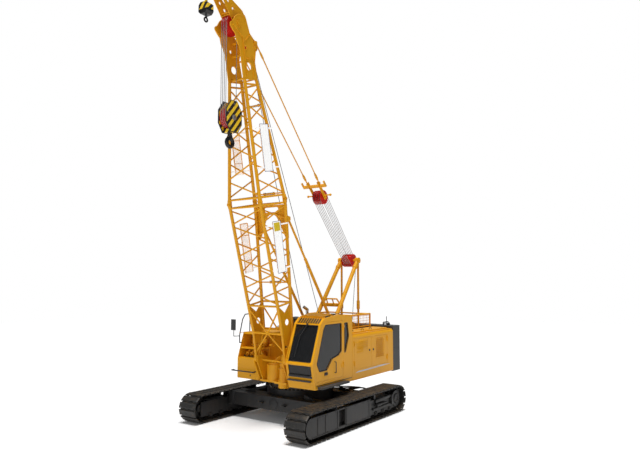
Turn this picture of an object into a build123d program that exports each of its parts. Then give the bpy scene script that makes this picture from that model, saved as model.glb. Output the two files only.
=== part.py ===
from build123d import *

import math
import os

# Lattice-boom crawler crane, in millimetres.
# +Z is up, the crane faces -Y, +X is its left (the cab's side).
# The origin lies on the ground under the centre of the slewing ring.

# ---- tracks ----
TRACK_GAUGE = 4130.0          # between the middles of the two tracks
TRACK_CENTRE_Y = -115.0
WHEELBASE = 4860.0            # idler centre to sprocket centre
TRACK_HEIGHT = 880.0          # ground to the top shoe
SHOE_WIDTH = 700.0
SHOE_COUNT = 58
SHOE_THICKNESS = 50.0
SHOE_GAP = 52.0
TRACK_BAND = 18.0             # closed band under the shoes
CHAIN_THICKNESS = 50.0
CHAIN_WIDTH = 180.0
WHEEL_WIDTH = 150.0
ROLLER_RADIUS = 92.0
ROLLER_COUNT = 10
CARRIER_RADIUS = 62.0
CARRIER_SHARES = (-0.22, 0.22)           # carrier rollers, shares of the wheelbase off the middle
CARRIER_SEAT = 45.0           # half length of their seats
WHEEL_HUB = 110.0
WHEEL_RIM = (90.0, 30.0)      # depth and taper of a wheel's rim
FRAME_WIDTH = 350.0           # box beam of a side frame
FRAME_TOP = 610.0
FRAME_FLOOR = 305.0
FRAME_SKIRT = 165.0           # lower edge of the plates beside the rollers
SKIRT_THICKNESS = 30.0
COVER_DEPTH = 115.0           # outer plates stand this far off the beam
COVER_THICKNESS = 40.0
COVER_LENGTH = 3035.0         # rearward of the idler's centre
COVER_MARGIN = 45.0           # the cover stays this far inside the chain
COVER_POCKET = (-968.0, 332.0, 60.0, 40.0)     # behind the frame's middle, length, margin below and above
DRIVE_CASE = (210.0, 215.0)   # travel gearbox: length, radius
DRIVE_MOTOR = (200.0, 120.0)

# ---- carbody and slewing ring ----
BEAM_SPACING = 1900.0         # between the two cross beams
BEAM_LENGTH_Y = 560.0
BEAM_BOTTOM = 400.0
BEAM_TOP = 800.0
HUB_RADIUS = 1060.0
HUB_TOP = 985.0
RING_RADIUS = 900.0
RING_HEIGHT = 165.0
TOW_EYE_BORE = 35.0
TOW_EYE_PLATE = 40.0
TOW_EYE_Z = 600.0
TOW_EYE_X = 450.0
TOW_EYE_REACH = 70.0          # bore's distance off the beam
PLATE_LAP = 20.0              # how far a welded plate runs into what carries it
RING_RIM = 70.0               # toothed rim outside the ring's collar
RING_WALL = 190.0

# ---- revolving deck ----
DECK_BOTTOM = 1214.0
DECK_FLOOR = 60.0
DECK_FRONT = -1181.0
DECK_REAR = 3110.0
FRAME_PLATE_X = 572.0         # boom foot and main plates, off the middle
LUG_THICKNESS = 32.0
FOOT_BOSS_WIDTH = 90.0
FOOT_BOSS_RADIUS = 112.0
FOOT_PIN_RADIUS = 46.0
PIN_PLAY = 0.3
SIDE_PLAY = 5.0
PLATE_TOP = 1760.0
FRONT_BAR = (-1300.0, 1886.0, 28.0)      # y, z, radius of the tube across the deck's front
HOUSING_AT = (-225.0, -1010.0, 240.0)    # round housing on the deck: x, y, radius
HOUSING_TOP = 1740.0
GEARBOX_AT = (270.0, -1150.0)
GEARBOX_STEPS = (             # height from, to, radius
    (0.0, 45.0, 185.0), (45.0, 105.0, 165.0), (105.0, 370.0, 150.0), (370.0, 400.0, 178.0),
    (400.0, 470.0, 128.0), (470.0, 560.0, 140.0), (560.0, 640.0, 80.0))
GEARBOX_SHELF = (230.0, 200.0)           # half width, reach ahead of the gearbox
PINION_HOUSING = (130.0, 180.0)          # depth under the deck, radius
DECK_NOSE = 60.0              # the deck runs this far ahead of its side bays
BULKHEAD = 60.0
DRUM_CHEEK = (12.0, 30.0, 170.0, 110.0)  # gap, thickness, half depth, height over the shaft

# ---- boom ----
BOOM_PIN_Y = -1433.0
BOOM_PIN_Z = 1938.0
BOOM_ANGLE = 79.0             # above the horizon, as parked
BOOM_OFFSET = 208.0           # lattice centre line behind the foot pins
CHORD_RADIUS = 50.0
LACING_RADIUS = 23.0
LACING_SETBACK = 46.0         # end of a lacing tube from its panel point, along the chord
WELD_GAP = 0.4
CHORD_ROOT = 840.0            # distances up the boom from the foot pins
BASE_START = 1650.0
JOINT_AT = 4860.0
TOP_END = 8470.0
BASE_HALF_WIDTH = 572.0
JOINT_HALF_WIDTH = 610.0
TOP_HALF_WIDTH = 300.0
BASE_HALF_DEPTH = 243.0
JOINT_HALF_DEPTH = 582.0
TOP_HALF_DEPTH = 266.0
BASE_PANELS = 6
END_TUBE_RADIUS = 30.0        # cross tubes at the ends of a section
BASE_INSETS = (50.0, 115.0)   # end tubes, in from the section's ends
TOP_INSETS = (125.0, 132.0)
FOOT_NOTCH = (1436.0, 195.0)
FOOT_HOLES = ((1143.0, 240.0, 95.0), (420.0, 60.0, 55.0))      # up the boom, behind the pins, radius
FOOT_PLATE = 28.0
FOOT_EDGE = 70.0              # plate's width beside each chord at the section
FOOT_BRACES = (36.0, 25.0, 26.0)         # radii: cross tubes, upper and lower braces
TOP_PANELS = 6
JOINT_GAP = 0.4
PORTAL_FOOT = 3650.0
PORTAL_TOP = 4690.0
PORTAL_BEAM = 290.0           # height of its top beam
PORTAL_LEG = 390.0            # width of its legs at the beam
PORTAL_TOE = 110.0            # and at their lower ends
PORTAL_ARCH = 150.0           # rise of the arch under the beam
PORTAL_PLATE = 24.0
PORTAL_SLOT = (560.0, 150.0, 60.0)       # width, height, corner radius
SIGNS = ((5720.0, 7130.0, 20.0, 400.0), (2675.0, 4235.0, 5.0, 380.0))      # up from, to, behind from, to
SIGN_PLATE = 6.0
SIGN_HANGER = 120.0           # hanger bars, in from a sign's ends

# ---- boom head and tip extension ----
HEAD_PLATE = 30.0
HEAD_OUTLINE = (              # up the boom, toward its rear
    (9300.0, -105.0), (9420.0, -125.0), (9590.0, -215.0), (9770.0, -226.0), (9860.0, -312.0),
    (9990.0, -400.0), (10060.0, -395.0), (10110.0, -288.0), (10260.0, -160.0), (10353.0, 0.0),
    (10352.0, 262.0), (10235.0, 305.0), (9844.0, 389.0), (9690.0, 532.0), (9590.0, 662.0),
    (9520.0, 690.0), (9390.0, 655.0), (9310.0, 540.0), (9163.0, 480.0), (9009.0, 492.0))
HEAD_SHEAVE_AT = (10080.0, -25.0)
HEAD_SHEAVE_PITCH = 66.0
HEAD_SHEAVES = 4
FALLS = (                     # pitches off the middle, side of the axle
    (-1.5, -1.0), (-0.5, -1.0), (0.5, -1.0), (1.5, -1.0), (-0.5, 1.0))
HEAD_SHEAVE_RADIUS = 300.0
HEAD_HOLES = ((8855.0, 190.0, 118.0), (9401.0, 140.0, 50.0))      # place, radius
HEAD_TUBES = (                # cross tubes: place, radius
    (8515.0, 25.0, 30.0), (8515.0, 474.0, 26.0), (9240.0, 190.0, 36.0), (9120.0, 440.0, 26.0),
    (9640.0, 290.0, 34.0), (9850.0, 345.0, 26.0))
JIB_PIN_AT = (10300.0, 225.0, 26.0)
AXLE_END = 530.0              # the head axle's far end, off the middle
AXLE_KNOB = (60.0, 66.0)      # length and radius of its end
AXLE_BOSS = (25.0, 85.0)
PENDANT_PIN = (60.0, 28.0)    # length and radius
GUIDE_SHEAVE_AT = (9440.0, 560.0)
GUIDE_SHEAVE_RADIUS = 165.0
TIP_SHEAVE_AT = (11300.0, -620.0)
TIP_SHEAVE_RADIUS = 210.0
TIP_HALF_WIDTH = 172.0
TIP_PLATE = 20.0
TIP_OUTLINE = (               # up the boom, toward its rear
    (10285.0, -185.0), (10750.0, -420.0), (11230.0, -690.0), (11370.0, -665.0), (11395.0, -545.0),
    (11290.0, -440.0), (10800.0, -75.0), (10530.0, 344.0), (10370.0, 430.0), (10250.0, 330.0),
    (10262.0, 120.0))
TIP_HOLES = ((10553.0, -60.0, 52.0), (10735.0, -222.0, 48.0), (10925.0, -350.0, 44.0))
TIP_TUBES = ((10430.0, -160.0), (10640.0, 60.0), (10990.0, -440.0), (10450.0, 330.0))
TIP_TUBE_RADIUS = 26.0
PENDANT_PIN_AT = (9585.0, 590.0)
SHEAVE_PITCH = 66.0
AXLE_RADIUS = 40.0
GROOVE_DEPTH = 30.0
ROPE_RADIUS = 11.0

# ---- suspension ----
BRIDLE_AT = (5200.0, 3210.0)
BRIDLE_SHEAVE_AT = (4704.0, 3523.0)
BRIDLE_SHEAVE_RADIUS = 245.0
BRIDLE_HALF_WIDTH = 244.0
PENDANT_RADIUS = 19.0
SOCKET_RADIUS = 40.0
PENDANT_EYE = (16.0, 58.0)    # half width and radius
LOW_SOCKET = (430.0, 110.0)   # from and to, off the lower pin
HIGH_SOCKET = (260.0, 580.0)
BACKSTOP_TOP = (4230.0, 900.0)
BACKSTOP_FOOT = (289.0, 2719.0)
BACKSTOP_X = 560.0
BACKSTOP_RADIUS = 48.0
BACKSTOP_SLEEVE = (1500.0, 500.0)        # the thick part's ends, off the top and the foot
BACKSTOP_EYE = (37.7, 46.0)   # half width and radius
BACKSTOP_LUG = (-90.0, 110.0, 50.0)      # root from and to, half width of the tip
BACKSTOP_LUGS_X = (-58.0, 38.0)
HORN_HEIGHT = 130.0           # upturned ends of the spreader plate
SPREADER_HALF = 480.0
SPREADER_FROM = 60.0          # past the pendants' pins
BRIDLE_TAIL = 80.0            # links' length past the sheaves' axle
BRIDLE_STUB_AT = -75.0        # side stubs, from the axle toward the pendants
BRIDLE_STUB_END = 470.0

# ---- gantry ----
GANTRY_HEAD_Y = 2985.0
GANTRY_HEAD_Z = 5070.0
GANTRY_HALF_WIDTH = 360.0
GANTRY_FOOT_Y = 1130.0
GANTRY_FOOT_Z = 2600.0
GANTRY_FOOT_X = 420.0
GANTRY_LEG_RADIUS = 72.0
GANTRY_SHEAVE_RADIUS = 235.0
GANTRY_CROSS_SHARE = 0.36     # cross tube, up the front legs
GANTRY_FRAME = (1683.0, 3703.0, 316.0)   # small frame's top tube: y, z, half length
COLLAR_SHARE = 0.90
COLLAR = (0.012, 16.0)        # half length as a share of the leg, rise over the leg
GANTRY_TUBES = (62.0, 26.0, 22.0)        # radii: cross tube, small frame, its struts
GANTRY_FOOT_EYE = (73.0, 80.0, 35.0)     # half width, radius, pin
GANTRY_LUGS = (-108.0, 78.0, 30.0, 110.0, 90.0)    # first, second, thickness, half depth, height
STAY_Y = 3030.0
STAY_RADIUS = 38.0
STAY_SLEEVE = (3300.0, 3600.0, 58.0)     # from, to, radius

# ---- cab ----
CAB_INNER_X = 758.0
CAB_OUTER_X = 1737.0
CAB_REAR = 447.0
CAB_WALL = 50.0
CAB_SIDE = (                  # side outline: y, z
    (-1542.0, DECK_BOTTOM), (-1700.0, 1950.0), (-1275.0, 3080.0), (-1090.0, 3235.0),
    (-300.0, 3325.0), (410.0, 3235.0), (CAB_REAR, 3120.0), (CAB_REAR, DECK_BOTTOM))
DOOR_OUTLINE = (              # y, z
    (-1455.0, 1430.0), (-1570.0, 1950.0), (-1180.0, 3060.0), (-1060.0, 3130.0),
    (-90.0, 3130.0), (-90.0, 1430.0))
DOOR_WINDOW = (               # y, z
    (-890.0, 3045.0), (-180.0, 3045.0), (-180.0, 2210.0), (-330.0, 2100.0), (-690.0, 2020.0),
    (-960.0, 1720.0), (-1350.0, 1720.0), (-1475.0, 1945.0), (-1130.0, 2930.0), (-1040.0, 3045.0))
REAR_WINDOW = (               # y, z
    (-10.0, 3045.0), (170.0, 3045.0), (235.0, 2630.0), (60.0, 2160.0), (-10.0, 2140.0))
RIGHT_WINDOW = ((-1400.0, 2050.0), (-1080.0, 2950.0), (250.0, 2950.0), (250.0, 2050.0))
FRONT_WINDOWS = (             # first corner of the cab's outline, share of the edge from, to
    (0, 0.55, 0.96), (1, 0.05, 0.97), (3, 0.10, 0.92))
SLAT_SPAN = (10.0, 520.0)     # roof guard, behind the roof window's front edge
SLAT_COUNT = 9
SLAT_WIDTH = 34.0
SLAT_HEIGHT = 32.0
SLAT_INSET = 110.0
SEAT_PIECES = (               # half width, y from, to, height over the floor from, to
    (240.0, -620.0, -100.0, 380.0, 500.0), (230.0, -190.0, -60.0, 490.0, 1150.0),
    (150.0, -520.0, -160.0, 0.0, 390.0))
CONSOLES_X = (-370.0, 270.0)  # off the cab's middle
CONSOLE_Y = (-700.0, -150.0)
CONSOLE = (100.0, 640.0)      # width, height
LEVER = (-620.0, 180.0, 14.0)            # y, height over the console, radius
DOOR_GAP = 6.0
DOOR_HINGE_Y = -84.0
CAB_HINGES = (1700.0, 2800.0)
BARREL_LENGTH = 100.0
HINGE_RADIUS = 16.0
HINGE_PLATE = 14.0            # outer face of a hinge plate, off the wall
HINGE_LIFT = 4.0
KNUCKLE_HEIGHT = 70.0
KNUCKLE_REACH = 60.0
KNUCKLE_CLEAR = 8.0           # a wall plate's edge from the hinge line
STRAP_REACH = 90.0
DOOR_HINGE_X = CAB_OUTER_X + HINGE_RADIUS + 1.0
GLASS = 8.0
GLASS_FIT = 0.4

# ---- houses ----
HOUSE_TOP = 2658.0
HOUSE_WALL = 30.0
LEFT_HOUSE_FRONT = 455.0
SHOULDER_RADIUS = 110.0
RIGHT_OUTER_X = -1657.0
RIGHT_INNER_X = -744.0
ENGINE_DOORS = ((575.0, 1622.0), (1632.0, 2690.0))    # front edge, rear edge
ENGINE_DOOR_BOTTOM = 1530.0
ENGINE_DOOR_TOP = 2490.0
ENGINE_HINGES = (ENGINE_DOOR_BOTTOM + 120.0, ENGINE_DOOR_TOP - 220.0)
COUNTERWEIGHT_REAR = 3668.0
COUNTERWEIGHT_TOP = 2740.0
COUNTERWEIGHT_BOTTOM = 1180.0
COUNTERWEIGHT_CORNER = 70.0
GROOVE_HALF = 6.0             # parting groove's half height; it is twice that deep
WEIGHT_LUG = (                # off the side, behind the deck, thickness, bore, size
    350.0, 280.0, 40.0, 24.0, (170.0, 150.0))
BAY_SILL = 1854.0             # the right house slopes back from here to its eaves
BAY_EAVES = -905.0
BAYS = ((1880.0, 2150.0, -640.0), (2185.0, 2600.0, -420.0))    # z from, to, depth reached
HATCH_X = (1000.0, 1600.0)
HATCHES_Y = ((600.0, 1560.0), (1760.0, 2960.0))
HATCH_CORNER = 60.0
HATCH_EDGE = 18.0
HATCH_RISE = 45.0
GUARD_X = 900.0               # tube guard over the luffing winch
GUARD_Y = (1700.0, 2940.0)
GUARD_TOP = 3150.0
GUARD_MIDDLE = 2740.0
GUARD_RADIUS = 32.0
HOOP_RADIUS = 17.0
HOOP_INSET = 37.0
HOOP_CORNER = 4               # corner of the hoop that carries the mirror's arm
MIRROR_AT = (60.0, -1310.0, 2760.0, (90.0, 2740.0, 3090.0))    # out, y, arm's top, half width and heights
MIRROR_ARM = 12.0
MIRROR_BALL = 14.0
EXHAUST = (-904.0, 1600.0, 640.0, 55.0, (-60.0, -130.0, 100.0))          # x, y, height, radius, outlet's run
FRONT_STEP = (1460.0, (-1787.0, -880.0), 130.0, 20.0)          # z, ends, reach ahead, radius
CAB_STEP = (1440.0, 1478.0, 75.0)        # z from, to, depth
SIDE_STEP = (170.0, -1440.0, 20.0, 1230.0, 1290.0)             # width, y from, to, z from, to
REAR_RAIL = (1300.0, 3200.0, 3560.0, 2850.0, 16.0)             # x, y from, to, top, radius
MAST = (3445.0, 3043.0, 13.0)            # y, top, radius
HOOP_RAIL = (                 # hoop beside the right house's front: y, z
    (-645.0, 3190.0), (-700.0, 3240.0), (-880.0, 3235.0), (-1000.0, 3080.0),
    (-1140.0, 2560.0), (-1130.0, 2330.0), (-1045.0, 2330.0))
LOUVRES = (700.0, 1100.0, 2060.0, 2430.0, 5)          # y from, to, z from, to, count
GRILLE = (1927.0, 2377.0, 1773.0, 2425.0, 13)
GRILLE_DEPTH = 16.0
GRILLE_BAR = 18.0
ENGINE_SIZE = (130.0, 200.0, 900.0, 2400.0, 2150.0)   # off the inner and outer wall, y from, to, top

# ---- winches ----
DRUM_RADIUS = 235.0
DRUM_FLANGE = 300.0
DRUM_HALF_LENGTH = 325.0
DRUM_RIM = 35.0
DRUMS = (("main_drum", 330.0, 1960.0), ("aux_drum", 1780.0, 2010.0),
         ("luffing_drum", 2640.0, 2560.0))      # name, y, z

# ---- hook blocks ----
MAIN_BLOCK_Z = 9060.0         # axle of the block's sheaves
MAIN_BLOCK_OUTLINE = (        # off the axle: y, z
    (-150.0, -430.0), (150.0, -430.0), (315.0, -170.0), (315.0, 210.0), (120.0, 490.0),
    (-120.0, 490.0), (-315.0, 210.0), (-315.0, -170.0))
BLOCK_PLAY = 8.0              # between sheaves and cheeks
BLOCK_CHEEK = 30.0
BLOCK_AXLE_END = 48.0
CROSSHEAD = (120.0, 428.0, 335.0)        # half depth, bottom and top below the axle
MAIN_HOOK_Z = 8345.0
MAIN_HOOK_THROAT = 66.0
MAIN_HOOK_BAR = 58.0
AUX_BLOCK_Z = 11970.0
AUX_BLOCK_HALF = (165.0, 130.0, 165.0)
AUX_CHAMFER = 70.0
AUX_NECK = (70.0, 40.0)       # height and radius of the neck on top
AUX_HOOK_Z = 11655.0
AUX_HOOK_THROAT = 34.0
AUX_HOOK_BAR = 24.0
SHANK_SHARE = 0.8             # shank against the hook's bar

WHEEL_Z = TRACK_HEIGHT / 2
BAND_OUTER = WHEEL_Z - SHOE_THICKNESS
BAND_INNER = BAND_OUTER - TRACK_BAND
CHAIN_INNER = BAND_INNER - CHAIN_THICKNESS
CARRIER_Z = WHEEL_Z + CHAIN_INNER - CARRIER_RADIUS - PIN_PLAY
BEAM_INSIDE = FRAME_WIDTH / 2 - SKIRT_THICKNESS - PIN_PLAY    # half the room between a frame's skirts
SIDES = (("left", 1.0), ("right", -1.0))


def block(x0, x1, y0, y1, z0, z1):
    """A box between two opposite corners."""
    return Solid.make_box(x1 - x0, y1 - y0, z1 - z0, Plane(origin=(x0, y0, z0)))


def rod(start, end, radius):
    """A round bar from one point to another."""
    start, end = Vector(*start), Vector(*end)
    return Solid.make_cylinder(radius, (end - start).length, Plane(origin=start, z_dir=end - start))


def across(x0, x1, y, z, radius):
    """A round bar along X."""
    return rod((x0, y, z), (x1, y, z), radius)


def spot(origin, side, near, far):
    """The span from near to far off the origin, on the side +1 or -1, lower value first."""
    return sorted((origin + side * near, origin + side * far))


def slab_x(face, x0, x1):
    """A face drawn in (y, z), extruded from x0 to x1."""
    return extrude(Plane.YZ.offset(x0) * face, x1 - x0, dir=(1, 0, 0)).solid()


def side_plate(outline, x0, x1):
    """A plate whose outline is given as (y, z), from x0 to x1."""
    return slab_x(Polygon(*outline, align=None), x0, x1)


UP = Vector(0, -math.cos(math.radians(BOOM_ANGLE)), math.sin(math.radians(BOOM_ANGLE)))
REARWARD = Vector(0, math.sin(math.radians(BOOM_ANGLE)), math.cos(math.radians(BOOM_ANGLE)))
PIN = Vector(0, BOOM_PIN_Y, BOOM_PIN_Z)


def on_boom(x, along, behind):
    """The point x off the middle, so far up the boom and so far behind its foot pins."""
    return Vector(x, 0, 0) + PIN + UP * along + REARWARD * behind


def boom_plate(outline, x0, x1):
    """A plate whose outline is given as (along, behind) on the boom, from x0 to x1."""
    plane = Plane(origin=PIN + Vector(x1, 0, 0), x_dir=UP, z_dir=(-1, 0, 0))
    return extrude(plane * Polygon(*outline, align=None), x1 - x0, dir=(-1, 0, 0)).solid()


def boom_bar(x0, x1, place, radius):
    """A round bar along X at an (along, behind) place on the boom."""
    return rod(on_boom(x0, *place), on_boom(x1, *place), radius)


def joined(first, *others):
    """One solid out of pieces that touch."""
    result = first
    for other in others:
        result = result + other
    return result.solid()


def spindle(start, end, radius):
    """A bar that swells from half its radius to its radius and back."""
    start, end = Vector(*start), Vector(*end)
    length = (end - start).length
    along = (end - start).normalized()
    outline = ((0.0, 0.0), (0.0, radius / 2), (length * 0.3, radius), (length * 0.7, radius),
               (length, radius / 2), (length, 0.0))
    plane = Plane(origin=start, x_dir=along, z_dir=Vector(1, 0, 0).cross(along))
    return revolve(plane * Polygon(*outline, align=None), Axis(start, along), 360).solid()


def bent_tube(points, radius):
    """Straight runs of round tube between points, with ball corners."""
    runs = [rod(start, end, radius) for start, end in zip(points, points[1:])]
    return joined(*runs, *[Pos(*point) * Sphere(radius) for point in points[1:-1]])


def turned(outline, y, z, x=0.0):
    """A ring about an axis along X; its outline is given as (x, radius)."""
    face = Plane(origin=(x, y, z), x_dir=(1, 0, 0), z_dir=(0, -1, 0)) * Polygon(*outline, align=None)
    return revolve(face, Axis((x, y, z), (1, 0, 0)), 360).solid()


def sheave_pack(place, radius, count, pitch=SHEAVE_PITCH):
    """Grooved sheaves side by side about an axis along X at (y, z)."""
    half = count * pitch / 2
    bore = AXLE_RADIUS + PIN_PLAY
    flange, floor = pitch * 0.12, pitch * 0.28
    outline = [(-half, bore)]
    for index in range(count):
        left = index * pitch - half
        right = left + pitch
        outline += [(left, radius - GROOVE_DEPTH / 2), (left + flange, radius),
                    (left + floor, radius - GROOVE_DEPTH), (right - floor, radius - GROOVE_DEPTH),
                    (right - flange, radius), (right, radius - GROOVE_DEPTH / 2)]
    outline.append((half, bore))
    unique = [point for index, point in enumerate(outline) if index == 0 or point != outline[index - 1]]
    return turned(unique, place[0], place[1])


def boom_yz(place):
    """The (y, z) of an (along, behind) place on the boom."""
    point = on_boom(0, *place)
    return (point.Y, point.Z)


# ---- undercarriage ----

def track_point(distance):
    """Place and outward direction on the stadium through the shoes' undersides, as (y, z), (dy, dz)."""
    straight, bend = WHEELBASE, math.pi * BAND_OUTER
    halves, distance = divmod(distance, straight + bend)
    sign = -1.0 if halves % 2 else 1.0
    if distance < straight:
        return (sign * (distance - straight / 2), -sign * BAND_OUTER), (0.0, -sign)
    turn = (distance - straight) / BAND_OUTER - math.pi / 2
    dy, dz = sign * math.cos(turn), sign * math.sin(turn)
    return (sign * straight / 2 + BAND_OUTER * dy, BAND_OUTER * dz), (dy, dz)


def stadium(radius):
    """The loop outline round both end wheels."""
    return SlotCenterToCenter(WHEELBASE, 2 * radius)


def track_loop(side):
    """One endless track with its shoes."""
    pitch = 2 * (WHEELBASE + math.pi * BAND_OUTER) / SHOE_COUNT
    half = (pitch - SHOE_GAP) / 2
    outline = []
    for index in range(SHOE_COUNT):
        (y, z), (dy, dz) = track_point(index * pitch)
        for along, out in ((-half, 0.0), (-half, SHOE_THICKNESS), (half, SHOE_THICKNESS), (half, 0.0)):
            outline.append((y - along * dz + out * dy, z + along * dy + out * dz))
    middle = side * TRACK_GAUGE / 2
    shoes = slab_x(Polygon(*outline, align=None) - stadium(BAND_INNER),
                   middle - SHOE_WIDTH / 2, middle + SHOE_WIDTH / 2)
    chain = slab_x(stadium(BAND_INNER + TRACK_BAND / 2) - stadium(CHAIN_INNER),
                   middle - CHAIN_WIDTH / 2, middle + CHAIN_WIDTH / 2)
    return Pos(0, TRACK_CENTRE_Y, WHEEL_Z) * joined(shoes, chain)


def wheel(side, at_rear):
    """An idler or a sprocket: a flanged disc inside the chain."""
    y = TRACK_CENTRE_Y + (WHEELBASE / 2 if at_rear else -WHEELBASE / 2)
    rim = CHAIN_INNER - PIN_PLAY
    deep, taper = WHEEL_RIM
    half, boss = WHEEL_WIDTH / 2, BEAM_INSIDE
    outline = ((-boss, 0.0), (-boss, WHEEL_HUB), (-half, WHEEL_HUB), (-half, rim - deep), (-half + taper, rim),
               (half - taper, rim), (half, rim - deep), (half, WHEEL_HUB), (boss, WHEEL_HUB), (boss, 0.0))
    return turned(outline, y, WHEEL_Z, side * TRACK_GAUGE / 2)


def rollers():
    """Track rollers under the side frames and carrier rollers on top of them."""
    result = []
    bottom_z = WHEEL_Z - CHAIN_INNER + ROLLER_RADIUS + PIN_PLAY
    span = WHEELBASE - 2 * CHAIN_INNER - 2 * ROLLER_RADIUS
    for _, side in SIDES:
        x = side * TRACK_GAUGE / 2
        for index in range(ROLLER_COUNT):
            y = TRACK_CENTRE_Y + span * (index / (ROLLER_COUNT - 1) - 0.5)
            result.append(across(x - BEAM_INSIDE, x + BEAM_INSIDE, y, bottom_z, ROLLER_RADIUS))
        for share in CARRIER_SHARES:
            y = TRACK_CENTRE_Y + share * WHEELBASE
            result.append(across(x - WHEEL_WIDTH / 2, x + WHEEL_WIDTH / 2, y, CARRIER_Z, CARRIER_RADIUS))
    return result


def track_frame(side):
    """A side frame: box beam, skirts beside the rollers, outer cover with a pocket."""
    middle = side * TRACK_GAUGE / 2
    half = FRAME_WIDTH / 2
    reach = WHEELBASE / 2 - CHAIN_INNER - 15.0
    beam = block(middle - half, middle + half, TRACK_CENTRE_Y - reach, TRACK_CENTRE_Y + reach,
                 FRAME_FLOOR, FRAME_TOP)
    for edge in (-half, half - SKIRT_THICKNESS):
        beam = beam + block(middle + edge, middle + edge + SKIRT_THICKNESS, TRACK_CENTRE_Y - WHEELBASE / 2,
                            TRACK_CENTRE_Y + WHEELBASE / 2, FRAME_SKIRT, FRAME_TOP)
    seat = WHEEL_WIDTH / 2 + PIN_PLAY
    for share in CARRIER_SHARES:
        y = TRACK_CENTRE_Y + share * WHEELBASE
        for x0 in (-half, seat):
            beam = beam + block(middle + x0, middle + x0 + half - seat, y - CARRIER_SEAT, y + CARRIER_SEAT,
                                FRAME_TOP, CARRIER_Z + CARRIER_SEAT)
    front = TRACK_CENTRE_Y - WHEELBASE / 2
    rear = front + COVER_LENGTH
    radius = CHAIN_INNER - COVER_MARGIN
    low, high = WHEEL_Z - radius, WHEEL_Z + radius
    face = Polygon((front, low), (rear, low), (rear, high), (front, high), align=None)
    face = face + Pos(front, WHEEL_Z) * Circle(radius)
    outer, inner = half + COVER_DEPTH, half
    cover = slab_x(face, *spot(middle, side, outer - COVER_THICKNESS, outer))
    cover = cover + block(*spot(middle, side, inner, outer), TRACK_CENTRE_Y - reach, rear,
                          FRAME_FLOOR, FRAME_TOP)
    pocket_y, length, below, above = COVER_POCKET
    y = TRACK_CENTRE_Y + pocket_y
    cover = cover - block(*spot(middle, side, inner + 1.0, outer + 1.0), y - length / 2, y + length / 2,
                          low + below, high - above)
    return joined(beam, cover)


def travel_drive(side):
    """The travel gearbox on the inner side of a sprocket."""
    middle = side * TRACK_GAUGE / 2
    y = TRACK_CENTRE_Y + WHEELBASE / 2
    start = FRAME_WIDTH / 2 + PIN_PLAY
    (case, case_radius), (motor, motor_radius) = DRIVE_CASE, DRIVE_MOTOR
    return joined(across(*spot(middle, -side, start, start + case), y, WHEEL_Z, case_radius),
                  across(*spot(middle, -side, start + case - PLATE_LAP, start + case + motor), y, WHEEL_Z,
                         motor_radius))


def tow_eye(x, edge, along):
    """A flat eye on a beam's edge; along is +1 toward the rear and -1 toward the front."""
    low, high = TOW_EYE_Z - TOW_EYE_PLATE / 2, TOW_EYE_Z + TOW_EYE_PLATE / 2
    middle = edge + along * TOW_EYE_REACH
    near, far = sorted((edge - along * PLATE_LAP, middle))
    eye = block(x - TOW_EYE_REACH, x + TOW_EYE_REACH, near, far, low, high)
    eye = eye + rod((x, middle, low), (x, middle, high), TOW_EYE_REACH)
    return eye - rod((x, middle, low - PLATE_LAP), (x, middle, high + PLATE_LAP), TOW_EYE_BORE)


def carbody():
    """The middle of the undercarriage: hub, two cross beams, towing eyes."""
    reach = TRACK_GAUGE / 2 - FRAME_WIDTH / 2 - WELD_GAP
    body = rod((0, 0, BEAM_BOTTOM + 40.0), (0, 0, HUB_TOP), HUB_RADIUS)
    for along in (-1.0, 1.0):
        y = TRACK_CENTRE_Y + along * BEAM_SPACING / 2
        body = body + block(-reach, reach, y - BEAM_LENGTH_Y / 2, y + BEAM_LENGTH_Y / 2, BEAM_BOTTOM, BEAM_TOP)
        for x in (-TOW_EYE_X, TOW_EYE_X):
            body = body + tow_eye(x, y + along * BEAM_LENGTH_Y / 2, along)
    return body.solid()


def slewing_ring():
    """The toothed ring on the carbody."""
    low, top = HUB_TOP + PIN_PLAY, DECK_BOTTOM - PIN_PLAY
    ring = joined(rod((0, 0, low), (0, 0, low + RING_HEIGHT), RING_RADIUS),
                  rod((0, 0, low), (0, 0, top), RING_RADIUS - RING_RIM))
    return ring - rod((0, 0, low - PLATE_LAP), (0, 0, top + PLATE_LAP), RING_RADIUS - RING_WALL)


# ---- revolving upper ----

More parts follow.
